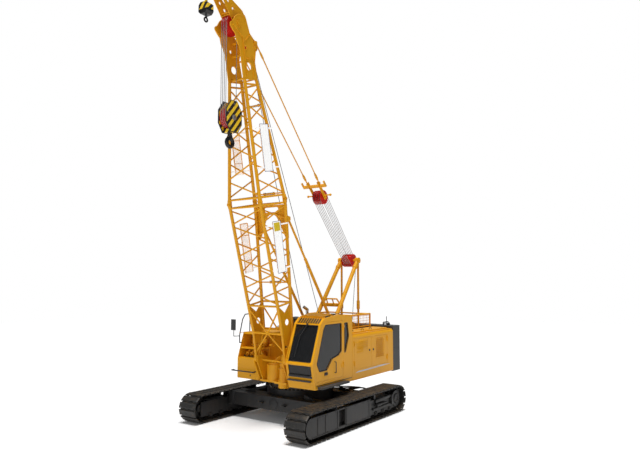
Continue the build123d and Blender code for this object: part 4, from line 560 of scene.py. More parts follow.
@dataclass(frozen=True)
class LaidRope(PaintedMetal):
    """Steel rope, whose strands follow the rope's own map, with painted shade in the grooves between
    them.
    """

    strands: float = 6.0
    turns: float = 44.0

    def dress(
            self, hand: NodeTree, kit: GroupKit, wear: bpy.types.Node, bump: bpy.types.Node,
            shader: bpy.types.Node) -> None:
        """Twist the strands into height, and paint shade into the grooves between them with a darker
        colour.
        """
        lay = hand.add("ShaderNodeGroup", node_tree=kit.groups["rope_lay"])
        hand.adjust(lay, {"Strands": self.strands, "Turns": self.turns})
        # Painted shade: the grooves between strands take the darker chip colour.
        hand.join(
            hand.mix(lay.outputs["Shade"], self.chip_and_groove_shade, wear.outputs["Color"]),
            shader.inputs["Base Color"])
        hand.join(lay.outputs["Height"], bump.inputs["Height"])


@dataclass(frozen=True)
class Glazing:
    """Tinted or clear glass, or a lens, with faint dust."""

    name: Finish
    tint: Colour
    transmission: float = 1.0
    roughness: float = 0.04
    glow: float = 0.0

    def material(self, kit: GroupKit) -> bpy.types.Material:
        """Make the material.

        Args:
            kit: the shared node groups.

        Returns:
            The finished material.
        """
        material, hand, shader = fresh_material(self.name.value)
        hand.adjust(
            shader,
            {"Transmission Weight": self.transmission, "IOR": GLASS_IOR, "Specular IOR Level": 0.25,
             "Emission Strength": self.glow})
        place = hand.coordinates()
        film = hand.band(hand.noise(place, 3.0, 6.0), 0.45, 0.75)
        pale = tuple((0.5 * channel + 0.06 for channel in self.tint[:3])) + (1.0,)
        share = hand.maths("MULTIPLY", film, 0.15)
        hand.join(hand.mix(share, self.tint, pale), shader.inputs["Base Color"])
        hand.join(
            hand.maths("MULTIPLY_ADD", film, 0.08, self.roughness), shader.inputs["Roughness"])
        return material


def finishes() -> list[PaintedMetal | Glazing]:
    """List every finish of the crane.

    Returns:
        One description for each finish.
    """
    soot = (0.018, 0.018, 0.019, 1.0)
    return [
        PaintedMetal(
            Finish.PAINT, (0.8, 0.368, 0.008, 1.0), (0.82, 0.4, 0.018, 1.0), wear=0.22, soil=0.06,
            soil_top=1.7, gloss=0.36, coat=0.05, bump=0.08, specular=0.22),
        PaintedMetal(
            Finish.DARK_PAINT, (0.015, 0.015, 0.016, 1.0), (0.021, 0.021, 0.021, 1.0), wear=0.3,
            soil=0.05, soil_top=0.95, gloss=0.44, bump=0.08, specular=0.35),
        SoiledMetal(
            Finish.SHOE, (0.022, 0.022, 0.022, 1.0), (0.032, 0.03, 0.028, 1.0),
            chip_and_groove_shade=(0.14, 0.12, 0.1, 1.0), dust=(0.1, 0.075, 0.048, 1.0), wear=0.5, soil=0.12,
            soil_top=1.0, gloss=0.48, metallic=0.25, bump=0.4, step=0.004),
        PaintedMetal(
            Finish.STEEL, (0.42, 0.42, 0.43, 1.0), (0.33, 0.32, 0.31, 1.0), wear=0.3, soil=0.08,
            gloss=0.3, metallic=0.9),
        PaintedMetal(
            Finish.GREASE, (0.08, 0.075, 0.07, 1.0), (0.15, 0.13, 0.1, 1.0), wear=0.3, soil=0.5,
            soil_top=1.4, gloss=0.35, metallic=0.6, bump=0.2),
        PaintedMetal(
            Finish.CAB_TRIM, (0.03, 0.031, 0.034, 1.0), (0.05, 0.05, 0.053, 1.0), wear=0.05,
            soil=0.0, gloss=0.62, bump=0.3, step=0.001),
        PaintedMetal(
            Finish.ENGINE, (0.12, 0.12, 0.115, 1.0), (0.18, 0.165, 0.15, 1.0), wear=0.5, soil=0.2,
            soil_top=2.4, gloss=0.55, metallic=0.4, bump=0.3, step=0.003),
        PaintedMetal(
            Finish.BALLAST, (0.03, 0.031, 0.033, 1.0), (0.042, 0.042, 0.043, 1.0), wear=0.25,
            soil=0.08, soil_top=1.9, gloss=0.5, bump=0.35, step=0.003),
        PaintedMetal(
            Finish.CHROME, (0.62, 0.6, 0.57, 1.0), (0.42, 0.36, 0.3, 1.0), wear=0.1, soil=0.0,
            gloss=0.18, metallic=1.0, bump=0.05),
        PaintedMetal(
            Finish.PLASTIC, soot, (0.04, 0.04, 0.041, 1.0), wear=0.1, soil=0.2, soil_top=1.9,
            gloss=0.44, bump=0.25, step=0.001),
        PaintedMetal(
            Finish.RUBBER_AND_SHADE, (0.012, 0.012, 0.012, 1.0), (0.03, 0.03, 0.03, 1.0), wear=0.0, soil=0.2,
            soil_top=1.8, gloss=0.7, bump=0.3, step=0.001),
        # In the ropes the chip colour is painted shade, darkening the grooves between strands.
        LaidRope(
            Finish.ROPE, (0.46, 0.46, 0.47, 1.0), (0.38, 0.37, 0.36, 1.0),
            chip_and_groove_shade=(0.17, 0.165, 0.16, 1.0), wear=0.0, soil=0.0, gloss=0.4, metallic=0.5, bump=0.9,
            step=0.003),
        LaidRope(
            Finish.HOIST_ROPE, (0.075, 0.073, 0.07, 1.0), (0.05, 0.048, 0.045, 1.0),
            chip_and_groove_shade=(0.02, 0.02, 0.02, 1.0), wear=0.0, soil=0.0, gloss=0.36, metallic=0.5, bump=0.9,
            step=0.003),
        PaintedMetal(
            Finish.SHEAVE, (0.64, 0.012, 0.008, 1.0), (0.56, 0.03, 0.02, 1.0), wear=0.35, soil=0.0,
            gloss=0.34, coat=0.2, bump=0.08),
        # The sign face glows with a faint constant emission: painted light that keeps it white in
        # shade.
        PaintedMetal(
            Finish.SIGN, (0.86, 0.86, 0.85, 1.0), (0.8, 0.8, 0.79, 1.0), wear=0.05, soil=0.0,
            gloss=0.38, bump=0.04, glow=0.38),
        PaintedMetal(
            Finish.SIGN_EDGE, (0.03, 0.07, 0.22, 1.0), (0.05, 0.09, 0.24, 1.0), wear=0.1, soil=0.0,
            gloss=0.4, bump=0.04),
        PaintedMetal(
            Finish.SIGN_MARK, (0.85, 0.62, 0.02, 1.0), (0.8, 0.6, 0.08, 1.0), wear=0.15, soil=0.0,
            gloss=0.4, bump=0.04),
        BandedPaint(
            Finish.HAZARD, (0.014, 0.014, 0.015, 1.0), (0.03, 0.03, 0.03, 1.0), wear=0.4, soil=0.0,
            gloss=0.34, coat=0.2, band=(1.0, 0.66, 0.03, 1.0), pitch=0.29),
        PaintedMetal(
            Finish.HOOK, (0.012, 0.012, 0.013, 1.0), (0.03, 0.03, 0.031, 1.0),
            chip_and_groove_shade=(0.25, 0.24, 0.23, 1.0), wear=0.6, soil=0.0, gloss=0.34, metallic=0.2, bump=0.2),
        PaintedMetal(
            Finish.STRIPE, (0.55, 0.57, 0.6, 1.0), (0.48, 0.49, 0.51, 1.0), wear=0.25, soil=0.15,
            soil_top=1.6, gloss=0.34, bump=0.05),
        TreadMetal(
            Finish.TREAD, (0.035, 0.035, 0.036, 1.0), (0.07, 0.068, 0.065, 1.0), wear=0.5, soil=0.1,
            gloss=0.55, bump=0.8, step=0.004),
        PaintedMetal(
            Finish.MIRROR, (0.75, 0.78, 0.8, 1.0), (0.7, 0.72, 0.74, 1.0), wear=0.0, soil=0.0,
            gloss=0.04, metallic=1.0, bump=0.0),
        PaintedMetal(
            Finish.SEAT, (0.025, 0.026, 0.03, 1.0), (0.05, 0.05, 0.056, 1.0), wear=0.0, soil=0.0,
            gloss=0.85, bump=0.9, step=0.002),
        Glazing(Finish.GLASS, (0.022, 0.023, 0.025, 1.0), transmission=0.5, roughness=0.03),
        Glazing(Finish.AMBER, (0.9, 0.3, 0.02, 1.0), transmission=0.5, roughness=0.12)]


class PaintShop:
    """Holds the materials and puts them on nodes and pieces."""

    def __init__(self) -> None:
        """Make every material once."""
        self.kit = GroupKit()
        self.kit.build()
        self.materials = {finish.name: finish.material(self.kit) for finish in finishes()}

    def coat(self, piece: Piece, finish: Finish) -> None:
        """Give a whole object one finish."""
        piece.data.materials.clear()
        piece.data.materials.append(self.materials[finish])

    def coat_nodes(self, nodes: dict[str, Piece]) -> None:
        """Give each CAD node its finish.

        Args:
            nodes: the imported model's nodes by name.
        """
        for finish, names in NODE_FINISHES.items():
            for name in names:
                for slot in nodes[name].material_slots:
                    slot.material = self.materials[finish]
        LOG.info("coated %d frame nodes", sum((len(names) for names in NODE_FINISHES.values())))


# ---------------------------------------------------------------- modelling moves


def around(count: int, radius: float, phase: float = 0.0) -> list[Pair]:
    """Space points evenly round a circle.

    Args:
        count: how many.
        radius: the circle's radius.
        phase: where the first one sits, as a share of one space.

    Returns:
        Each point as an offset from the circle's middle.
    """
    turns = [math.tau * (index + phase) / count for index in range(count)]
    return [(radius * math.cos(turn), radius * math.sin(turn)) for turn in turns]


@dataclass
class Assembly:
    """A sub-assembly and the modelling moves that each of them uses, done as by hand."""

    shop: PaintShop

    @staticmethod
    def clear() -> None:
        """Leave edit mode and deselect everything."""
        if bpy.context.object and bpy.context.object.mode != "OBJECT":
            bpy.ops.object.mode_set(mode="OBJECT")
        bpy.ops.object.select_all(action="DESELECT")

    @staticmethod
    def settle(name: str) -> Piece:
        """Name the active object and put its place into its mesh.

        Args:
            name: the object's name.

        Returns:
            The object, in object mode, at the origin.
        """
        if bpy.context.object.mode != "OBJECT":
            bpy.ops.object.mode_set(mode="OBJECT")
        piece = bpy.context.object
        piece.name = name
        piece.data.name = name
        bpy.ops.object.transform_apply(location=True, rotation=True, scale=True)
        return piece

    def wire(self, name: str, points: Chain) -> Piece:
        """Draw a chain of edges by extruding one vertex.

        Args:
            name: the object's name.
            points: the chain's points.

        Returns:
            The object, in edit mode with all selected.
        """
        self.clear()
        bpy.ops.mesh.primitive_plane_add(size=0.01)
        piece = bpy.context.object
        piece.name = name
        bpy.ops.object.mode_set(mode="EDIT")
        bpy.ops.mesh.select_all(action="SELECT")
        bpy.ops.mesh.merge(type="CENTER")
        bpy.ops.transform.translate(value=tuple(points[0]))
        for before, after in zip(points, points[1:]):
            step = Vector(after) - Vector(before)
            bpy.ops.mesh.extrude_vertices_move(TRANSFORM_OT_translate={"value": tuple(step)})
        bpy.ops.mesh.select_all(action="SELECT")
        return piece

    def plate(
            self, name: str, outline: Chain, depth: Sequence[float], bevel: float = 0.003,
            segments: int = 2) -> Piece:
        """Cut a flat plate from its outline and give it thickness and softened edges.

        Args:
            name: the object's name.
            outline: the corners of one face, in order.
            depth: the thickness as a vector.
            bevel: width of the softened edges.
            segments: steps across them.

        Returns:
            The finished plate.
        """
        self.wire(name, outline)
        bpy.ops.mesh.edge_face_add()
        bpy.ops.mesh.extrude_region_move(TRANSFORM_OT_translate={"value": tuple(depth)})
        bpy.ops.mesh.select_all(action="SELECT")
        bpy.ops.mesh.normals_make_consistent(inside=False)
        if bevel > 0.0:
            bpy.ops.mesh.bevel(offset=bevel, segments=segments, affect="EDGES", clamp_overlap=True)
        return self.settle(name)

    def sheet(
            self, name: str, axis: str, level: float, outline: Chain, depth: float,
            bevel: float = 0.003, segments: int = 2) -> Piece:
        """Cut a plate that lies square to one axis.

        Args:
            name: the object's name.
            axis: X, Y or Z, the way that it is thick.
            level: where its first face lies on that axis.
            outline: the corners of that face, by the other two axes in order.
            depth: its thickness along the axis.
            bevel: width of the softened edges.
            segments: steps across them.

        Returns:
            The finished plate.
        """
        spot = "XYZ".index(axis)
        points = [(*pair[:spot], level, *pair[spot:]) for pair in outline]
        course = [0.0, 0.0, 0.0]
        course[spot] = depth
        return self.plate(name, points, course, bevel, segments)

    def box(
            self, name: str, first: Sequence[float], second: Sequence[float], bevel: float = 0.004,
            segments: int = 2) -> Piece:
        """Make a block with softened edges.

        Args:
            name: the object's name.
            first: one corner.
            second: the corner across from it.
            bevel: width of the softened edges.
            segments: steps across them.

        Returns:
            The finished block.
        """
        low, high = Vector(map(min, first, second)), Vector(map(max, first, second))
        self.clear()
        bpy.ops.mesh.primitive_cube_add(size=1.0, location=(low + high) / 2)
        bpy.ops.object.mode_set(mode="EDIT")
        bpy.ops.mesh.select_all(action="SELECT")
        bpy.ops.transform.resize(value=tuple(high - low))
        width = min(bevel, min(high - low) * 0.45)
        bpy.ops.mesh.bevel(offset=width, segments=segments, affect="EDGES", clamp_overlap=True)
        return self.settle(name)

    def bar(
            self, name: str, start: Sequence[float], end: Sequence[float], radius: float,
            sides: int = 16, rim: float = 0.12, far_radius: float | None = None) -> Piece:
        """Turn a round bar between two points, with chamfered rims.

        Args:
            name: the object's name.
            start: one end's middle.
            end: the other end's middle.
            radius: the bar's radius.
            sides: faces around it.
            rim: width of the chamfer against the radius.
            far_radius: radius at the far end, where the bar is tapered.

        Returns:
            The finished bar.
        """
        start, end = Vector(start), Vector(end)
        run = end - start
        self.clear()
        turn = run.to_track_quat("Z", "Y").to_euler()
        tip = radius if far_radius is None else far_radius
        bpy.ops.mesh.primitive_cone_add(
            vertices=sides, radius1=radius, radius2=tip, depth=run.length,
            location=(start + end) / 2, rotation=turn)
        bpy.ops.object.mode_set(mode="EDIT")
        bpy.ops.mesh.select_mode(type="FACE")
        bpy.ops.mesh.select_all(action="DESELECT")
        bpy.ops.object.mode_set(mode="OBJECT")
        for face in bpy.context.object.data.polygons:
            face.select = len(face.vertices) > 4
        bpy.ops.object.mode_set(mode="EDIT")
        bpy.ops.mesh.region_to_loop()
        if rim > 0.0:
            bpy.ops.mesh.bevel(
                offset=min(radius, tip) * rim, segments=2, affect="EDGES", clamp_overlap=True)
        bpy.ops.mesh.select_mode(type="VERT")
        return self.settle(name)

    def bolt(
            self, name: str, start: Sequence[float], end: Sequence[float], radius: float,
            rim: float = 0.0) -> Piece:
        """Make a hexagonal bolt head or nut between two points; see bar()."""
        return self.bar(name, start, end, radius, sides=6, rim=rim)

    def turned(
            self, name: str, profile: Chain, centre: Sequence[float],
            axis: Sequence[float] = (1.0, 0.0, 0.0), steps: int = 32,
            angle: float = math.tau) -> Piece:
        """Spin a drawn profile about an axis.

        Args:
            name: the object's name.
            profile: points given as (along the axis, radius).
            centre: a point on the axis.
            axis: the axis' direction.
            steps: steps of the spin.
            angle: how far it spins.

        Returns:
            The finished ring or knob.
        """
        axis, centre = Vector(axis).normalized(), Vector(centre)
        outward = axis.orthogonal().normalized()
        points = [centre + axis * along + outward * radius for along, radius in profile]
        self.wire(name, points)
        bpy.ops.mesh.spin(steps=steps, angle=angle, center=tuple(centre), axis=tuple(axis))
        bpy.ops.mesh.select_all(action="SELECT")
        bpy.ops.mesh.remove_doubles(threshold=0.0001)
        bpy.ops.mesh.normals_make_consistent(inside=False)
        return self.settle(name)

    def tube(
            self, name: str, points: Chain, radius: float, corner: float = 0.0, resolution: int = 3,
            closed: bool = False) -> Piece:
        """Bend a round tube along a chain of points.

        Args:
            name: the object's name.
            points: the chain's points.
            radius: the tube's radius.
            corner: how far from a corner the bend starts.
            resolution: roundness of the tube.
            closed: whether the chain closes on itself.

        Returns:
            The finished tube.
        """
        self.wire(name, points)
        if closed:
            bpy.ops.mesh.select_all(action="DESELECT")
            bpy.ops.object.mode_set(mode="OBJECT")
            vertices = bpy.context.object.data.vertices
            for index in (0, len(vertices) - 1):
                vertices[index].select = True
            bpy.ops.object.mode_set(mode="EDIT")
            bpy.ops.mesh.edge_face_add()
            bpy.ops.mesh.select_all(action="SELECT")
        if corner > 0.0:
            bpy.ops.mesh.bevel(offset=corner, segments=5, affect="VERTICES", clamp_overlap=True)
        bpy.ops.object.mode_set(mode="OBJECT")
        bpy.ops.object.convert(target="CURVE")
        curve = bpy.context.object
        curve.data.bevel_depth = radius
        curve.data.bevel_resolution = resolution
        curve.data.use_fill_caps = not closed
        bpy.ops.object.convert(target="MESH")
        return self.settle(name)

    def join(self, name: str, pieces: Sequence[Piece]) -> Piece:
        """Join several objects into one.

        Args:
            name: the joined object's name.
            pieces: what is joined.

        Returns:
            The joined object.
        """
        self.clear()
        for piece in pieces:
            piece.select_set(True)
        bpy.context.view_layer.objects.active = pieces[0]
        if len(pieces) > 1:
            bpy.ops.object.join()
        return self.settle(name)

    def repeat(self, name: str, model: Piece, places: Iterable[Matrix]) -> Piece:
        """Copy a model to several places, each with its own mesh, and join the copies.

        Args:
            name: the joined object's name.
            model: what is copied; it is used up.
            places: where each copy goes, from the model's own place.

        Returns:
            The joined copies.
        """
        copies = []
        for place in places:
            piece = model.copy()
            piece.data = model.data.copy()
            piece.data.transform(place)
            bpy.context.scene.collection.objects.link(piece)
            copies.append(piece)
        bpy.data.objects.remove(model)
        return self.join(name, copies)

    def done(
            self, piece: Piece, body: Body, finish: Finish, slot: str = "",
            smooth: float = 32.0) -> Piece:
        """Smooth, coat and hang a piece on its body where it has one, and report it.

        Args:
            piece: the finished mesh.
            body: the body that it rides on, or two bodies and two points, where it stays fixed in
                place.
            finish: its finish.
            slot: a material slot's name, where it isn't the finish's usual one; it is looked up but
                not used.
            smooth: largest angle in degrees that is shaded smooth.

        Returns:
            The piece.
        """
        self.clear()
        piece.select_set(True)
        bpy.context.view_layer.objects.active = piece
        bpy.ops.object.shade_smooth_by_angle(angle=math.radians(smooth))
        self.shop.coat(piece, finish)
        if isinstance(body, str):
            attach(piece, body)
        else:
            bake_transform(piece)
        slot = slot or SLOTS[finish]
        LOG.info("%s: %d faces on %s", piece.name, len(piece.data.polygons), body)
        return piece

    def hang(
            self, name: str, pieces: Sequence[Piece], body: Body, finish: Finish,
            slot: str = "") -> Piece:
        """Join pieces into one and hang it on its body; see done()."""
        return self.done(self.join(name, pieces), body, finish, slot)


# ---------------------------------------------------------------- the boom's own axes


@dataclass(frozen=True)
class BoomLine:
    """The boom's own axes: upward from the foot pins, and square behind them."""

    pin: Point = (0.0, -1.433, 1.938)
    angle: float = 79.0
    offset: float = 0.208
    stations: tuple[Point, ...] = ((0.84, 0.572, 0.243), (4.86, 0.61, 0.582), (8.47, 0.3, 0.266))

    @property
    def up(self) -> Vector:
        """Direction up the boom."""
        turn = math.radians(self.angle)
        return Vector((0.0, -math.cos(turn), math.sin(turn)))

    @property
    def rear(self) -> Vector:
        """Direction square behind the boom."""
        turn = math.radians(self.angle)
        return Vector((0.0, math.sin(turn), math.cos(turn)))

    def at(self, x: float, along: float, behind: float) -> Vector:
        """Find a point so far up the boom and so far behind its foot pins."""
        return Vector((x, 0.0, 0.0)) + Vector(self.pin) + self.up * along + self.rear * behind

    def half(self, along: float) -> Pair:
        """Half width and half depth of the lattice at a place up the boom."""
        first, middle, last = self.stations
        start, end = (first, middle) if along <= middle[0] else (middle, last)
        share = (along - start[0]) / (end[0] - start[0])
        return start[1] + (end[1] - start[1]) * share, start[2] + (end[2] - start[2]) * share

    def chord(self, side: float, back: float, along: float) -> Vector:
        """Find a point on a chord: side is +1 at the left, back is +1 at the rear."""
        wide, deep = self.half(along)
        return self.at(side * wide, along, self.offset + back * deep)


BOOM = BoomLine()


# ---------------------------------------------------------------- undercarriage


@dataclass
class Tracks(Assembly):
    """The two endless tracks: link chain, shoes with grouser ribs, bolts."""

    gauge: float = 4.13
    middle_y: float = -0.115
    wheelbase: float = 4.86
    height: float = 0.88
    count: int = 58
    width: float = 0.7
    thickness: float = 0.05
    pad: float = 0.158
    pocket_places: Numbers = (-0.275, 0.0, 0.275)

    def place(self, share: float) -> Matrix:
        """Find where a link sits on the loop.

        Args:
            share: distance round the loop as a share of its length.

        Returns:
            The link's move: X across the track, Z outward.
        """
        radius = self.height / 2 - self.thickness
        bend = math.pi * radius
        half = self.wheelbase + bend
        halves, distance = divmod(share * 2 * half, half)
        sign = -1.0 if halves % 2 else 1.0
        if distance < self.wheelbase:
            spot = Vector((0.0, sign * (distance - self.wheelbase / 2), -sign * radius))
            outward = Vector((0.0, 0.0, -sign))
        else:
            turn = (distance - self.wheelbase) / radius - math.pi / 2
            outward = Vector((0.0, sign * math.cos(turn), sign * math.sin(turn)))
            spot = Vector((0.0, sign * self.wheelbase / 2, 0.0)) + outward * radius
        across = Vector((1.0, 0.0, 0.0))
        forward = outward.cross(across)
        turned = Matrix((across, forward, outward)).transposed().to_4x4()
        return Matrix.Translation(spot + Vector((0.0, self.middle_y, self.height / 2))) @ turned

    def shoe(self) -> Piece:
        """Model one shoe: a pad with chamfered ends, hooked edges, two ribs and four bolt heads."""
        half, long = self.width / 2, self.pad / 2
        pad = self.sheet(
            "shoe_pad", "Y", -long,
            ((-half, 0.004), (-half + 0.02, 0.0), (half - 0.02, 0.0), (half, 0.004), (half, 0.026),
             (half - 0.03, 0.04), (-half + 0.03, 0.04), (-half, 0.026)), 2 * long, bevel=0.004,
            segments=1)
        pieces = [pad]
        for y in (-0.058, 0.058):
            pieces.append(self.plate(
                "shoe_rib",
                ((-half + 0.035, y - 0.014, 0.036), (half - 0.035, y - 0.014, 0.036),
                 (half - 0.05, y - 0.008, 0.044), (-half + 0.05, y - 0.008, 0.044)),
                (0.0, 0.024, 0.0), bevel=0.003, segments=1))
        for x in (-0.085, 0.085):
            pieces.append(self.box(
                "shoe_lug", (x - 0.045, -0.098, -0.062), (x + 0.045, 0.098, 0.004), bevel=0.012,
                segments=1))
            for y in (-0.022, 0.022):
                pieces.append(self.bolt("shoe_bolt", (x, y, 0.036), (x, y, 0.044), 0.013))
        lip = -half + 0.045
        pieces.append(self.sheet(
            "shoe_lip", "X", lip, ((0.07, 0.01), (0.138, -0.028), (0.138, -0.038), (0.07, 0.0)),
            -2 * lip, bevel=0.003, segments=1))
        for x in (-0.235, 0.0, 0.235):
            pieces.append(self.plate(
                "shoe_tooth",
                ((x - 0.06, -0.079, 0.034), (x + 0.06, -0.079, 0.034), (x + 0.05, -0.104, 0.012),
                 (x - 0.05, -0.104, 0.012)), (0.0, 0.004, -0.02), bevel=0.003, segments=1))
        for x in (-half + 0.016, half - 0.016):
            pieces.append(self.box(
                "shoe_horn", (x - 0.015, -0.1, -0.01), (x + 0.015, -0.06, 0.022), bevel=0.005,
                segments=1))
        return self.join("shoe", pieces)

    def pocket_shades(self) -> Piece:
        """Model painted shade for the three pockets of one shoe as thin dark patches: one in the
        middle and one near each end.
        """
        return self.join(
            "shoe_pocket_shade",
            [self.box(
                 "pocket", (x - 0.026, -0.034, 0.036), (x + 0.026, 0.004, 0.0412), bevel=0.002,
                 segments=1) for x in self.pocket_places])

    def build(self) -> None:
        """Lay both tracks out of copies of one shoe and the painted shade of its pockets."""
        for name, side in SIDES:
            middle = Matrix.Translation((side * self.gauge / 2, 0.0, 0.0))
            places = [
                middle @ self.place((index + 0.5) / self.count) for index in range(self.count)]
            track = self.repeat(f"{name}_track_shoes", self.shoe(), places)
            piece = self.done(track, "undercarriage", Finish.SHOE, smooth=28.0)
            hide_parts(f"track_{name}")
            # Thin dark patches on each shoe are painted shade for its pockets.
            dots = self.repeat(f"{name}_shoe_pocket_shades", self.pocket_shades(), places)
            self.done(dots, "undercarriage", Finish.RUBBER_AND_SHADE)


@dataclass
class SideFrames(Assembly):
    """What is bolted to the side frames: roller guards, wheel caps, ribs and rear stays."""

    gauge: float = 4.13
    middle_y: float = -0.115
    skin: float = 2.24
    cover: float = 2.355
    wheelbase: float = 4.86
    wheel_z: float = 0.44
    rollers: int = 10
    roller_span: float = 4.032
    ribs: Numbers = (-2.28, -1.92, -1.32, -0.86, 0.42)
    flanges: Numbers = (0.18, 0.702)
    flange_runs: Pairs = ((-2.54, -1.26), (-0.91, 0.485))
    bolts: Numbers = (-2.2, -2.02, -1.82, -1.42, -0.78, -0.36, 0.06, 0.34)
    bolt_rows: Numbers = (0.215, 0.665)

    def guards(self, side: float) -> Pieces:
        """Put a bracket and an end cap at every track roller."""
        inner = self.gauge - self.skin
        pieces = []
        for index in range(self.rollers):
            y = self.middle_y + self.roller_span * (index / (self.rollers - 1) - 0.5)
            for skin, out in ((self.skin, 1.0), (inner, -1.0)):
                x = side * (skin + out * 0.004)
                pieces.append(self.sheet(
                    "roller_bracket", "X", x,
                    ((y - 0.085, 0.235), (y + 0.085, 0.235), (y + 0.055, 0.135),
                     (y - 0.055, 0.135)), side * out * 0.026, bevel=0.006, segments=1))
                pieces.append(self.bar(
                    "roller_cap", (x + side * out * 0.02, y, 0.19),
                    (x + side * out * 0.046, y, 0.19), 0.036, sides=14, rim=0.3))
        return pieces

    def wheels(self, side: float) -> Pieces:
        """Cap the rear wheel outside, with its bolt ring, and the idler's axle in its slide."""
        rear = self.middle_y + self.wheelbase / 2
        front = self.middle_y - self.wheelbase / 2
        pieces = [self.turned(
            "wheel_disc",
            ((0.0, 0.0), (0.0, 0.0), (0.03, 0.0), (0.03, 0.085), (0.052, 0.095), (0.052, 0.15),
             (0.022, 0.175), (0.022, 0.255), (0.01, 0.268), (-0.02, 0.268)),
            (side * self.skin, rear, self.wheel_z), (side, 0.0, 0.0), steps=40)]
        for off, rise in around(12, 0.122):
            spot = (side * (self.skin + 0.05), rear + off, self.wheel_z + rise)
            pieces.append(self.bolt("wheel_bolt", spot, (spot[0] + side * 0.014, *spot[1:]), 0.011))
        pieces.append(self.sheet(
            "idler_slide", "X", side * self.skin,
            ((front + 0.02, 0.36), (front + 0.62, 0.36), (front + 0.62, 0.52),
             (front + 0.02, 0.52)), side * 0.03, bevel=0.006))
        return pieces

    def seams(self, side: float) -> Pieces:
        """Edge the cover with ribs, flanges and bolts."""
        x = side * (self.cover + 0.001)
        pieces = []
        for y in self.ribs:
            pieces.append(self.box(
                "cover_rib", (x, y - 0.012, 0.185), (x + side * 0.01, y + 0.012, 0.7), bevel=0.003,
                segments=1))
        for z in self.flanges:
            for low, high in self.flange_runs:
                pieces.append(self.box(
                    "cover_flange", (x, low, z - 0.012), (x + side * 0.012, high, z + 0.012),
                    bevel=0.003, segments=1))
        for y in self.bolts:
            for z in self.bolt_rows:
                pieces.append(self.bolt("cover_bolt", (x, y, z), (x + side * 0.012, y, z), 0.012))
        return pieces

    def recess(self, side: float) -> Pieces:
        """Fill the open rear of the frame with its stays, web and tension cylinder."""
        x = side * self.skin
        pieces = [
            self.sheet(
                "rear_stay", "X", x, ((0.95, 0.61), (1.95, 0.63), (1.95, 0.56), (0.95, 0.5)),
                side * 0.055, bevel=0.008),
            self.sheet(
                "rear_stay_low", "X", x, ((0.8, 0.3), (2.02, 0.3), (2.02, 0.36), (0.8, 0.36)),
                side * 0.05, bevel=0.008),
            self.sheet(
                "rear_web", "X", x, ((1.93, 0.3), (2.02, 0.3), (2.02, 0.62), (1.93, 0.62)),
                side * 0.08, bevel=0.008),
            self.turned(
                "tension_cylinder",
                ((-0.3, 0.0), (-0.3, 0.055), (-0.02, 0.055), (0.0, 0.035), (0.34, 0.035),
                 (0.34, 0.0)), (x + side * 0.06, 1.25, 0.44), REARWARD, steps=20)]
        return pieces

    def build(self) -> None:
        """Dress both side frames."""
        for name, side in SIDES:
            pieces = self.guards(side) + self.wheels(side) + self.seams(side) + self.recess(side)
            self.hang(f"{name}_frame_fittings", pieces, "undercarriage", Finish.DARK_PAINT)


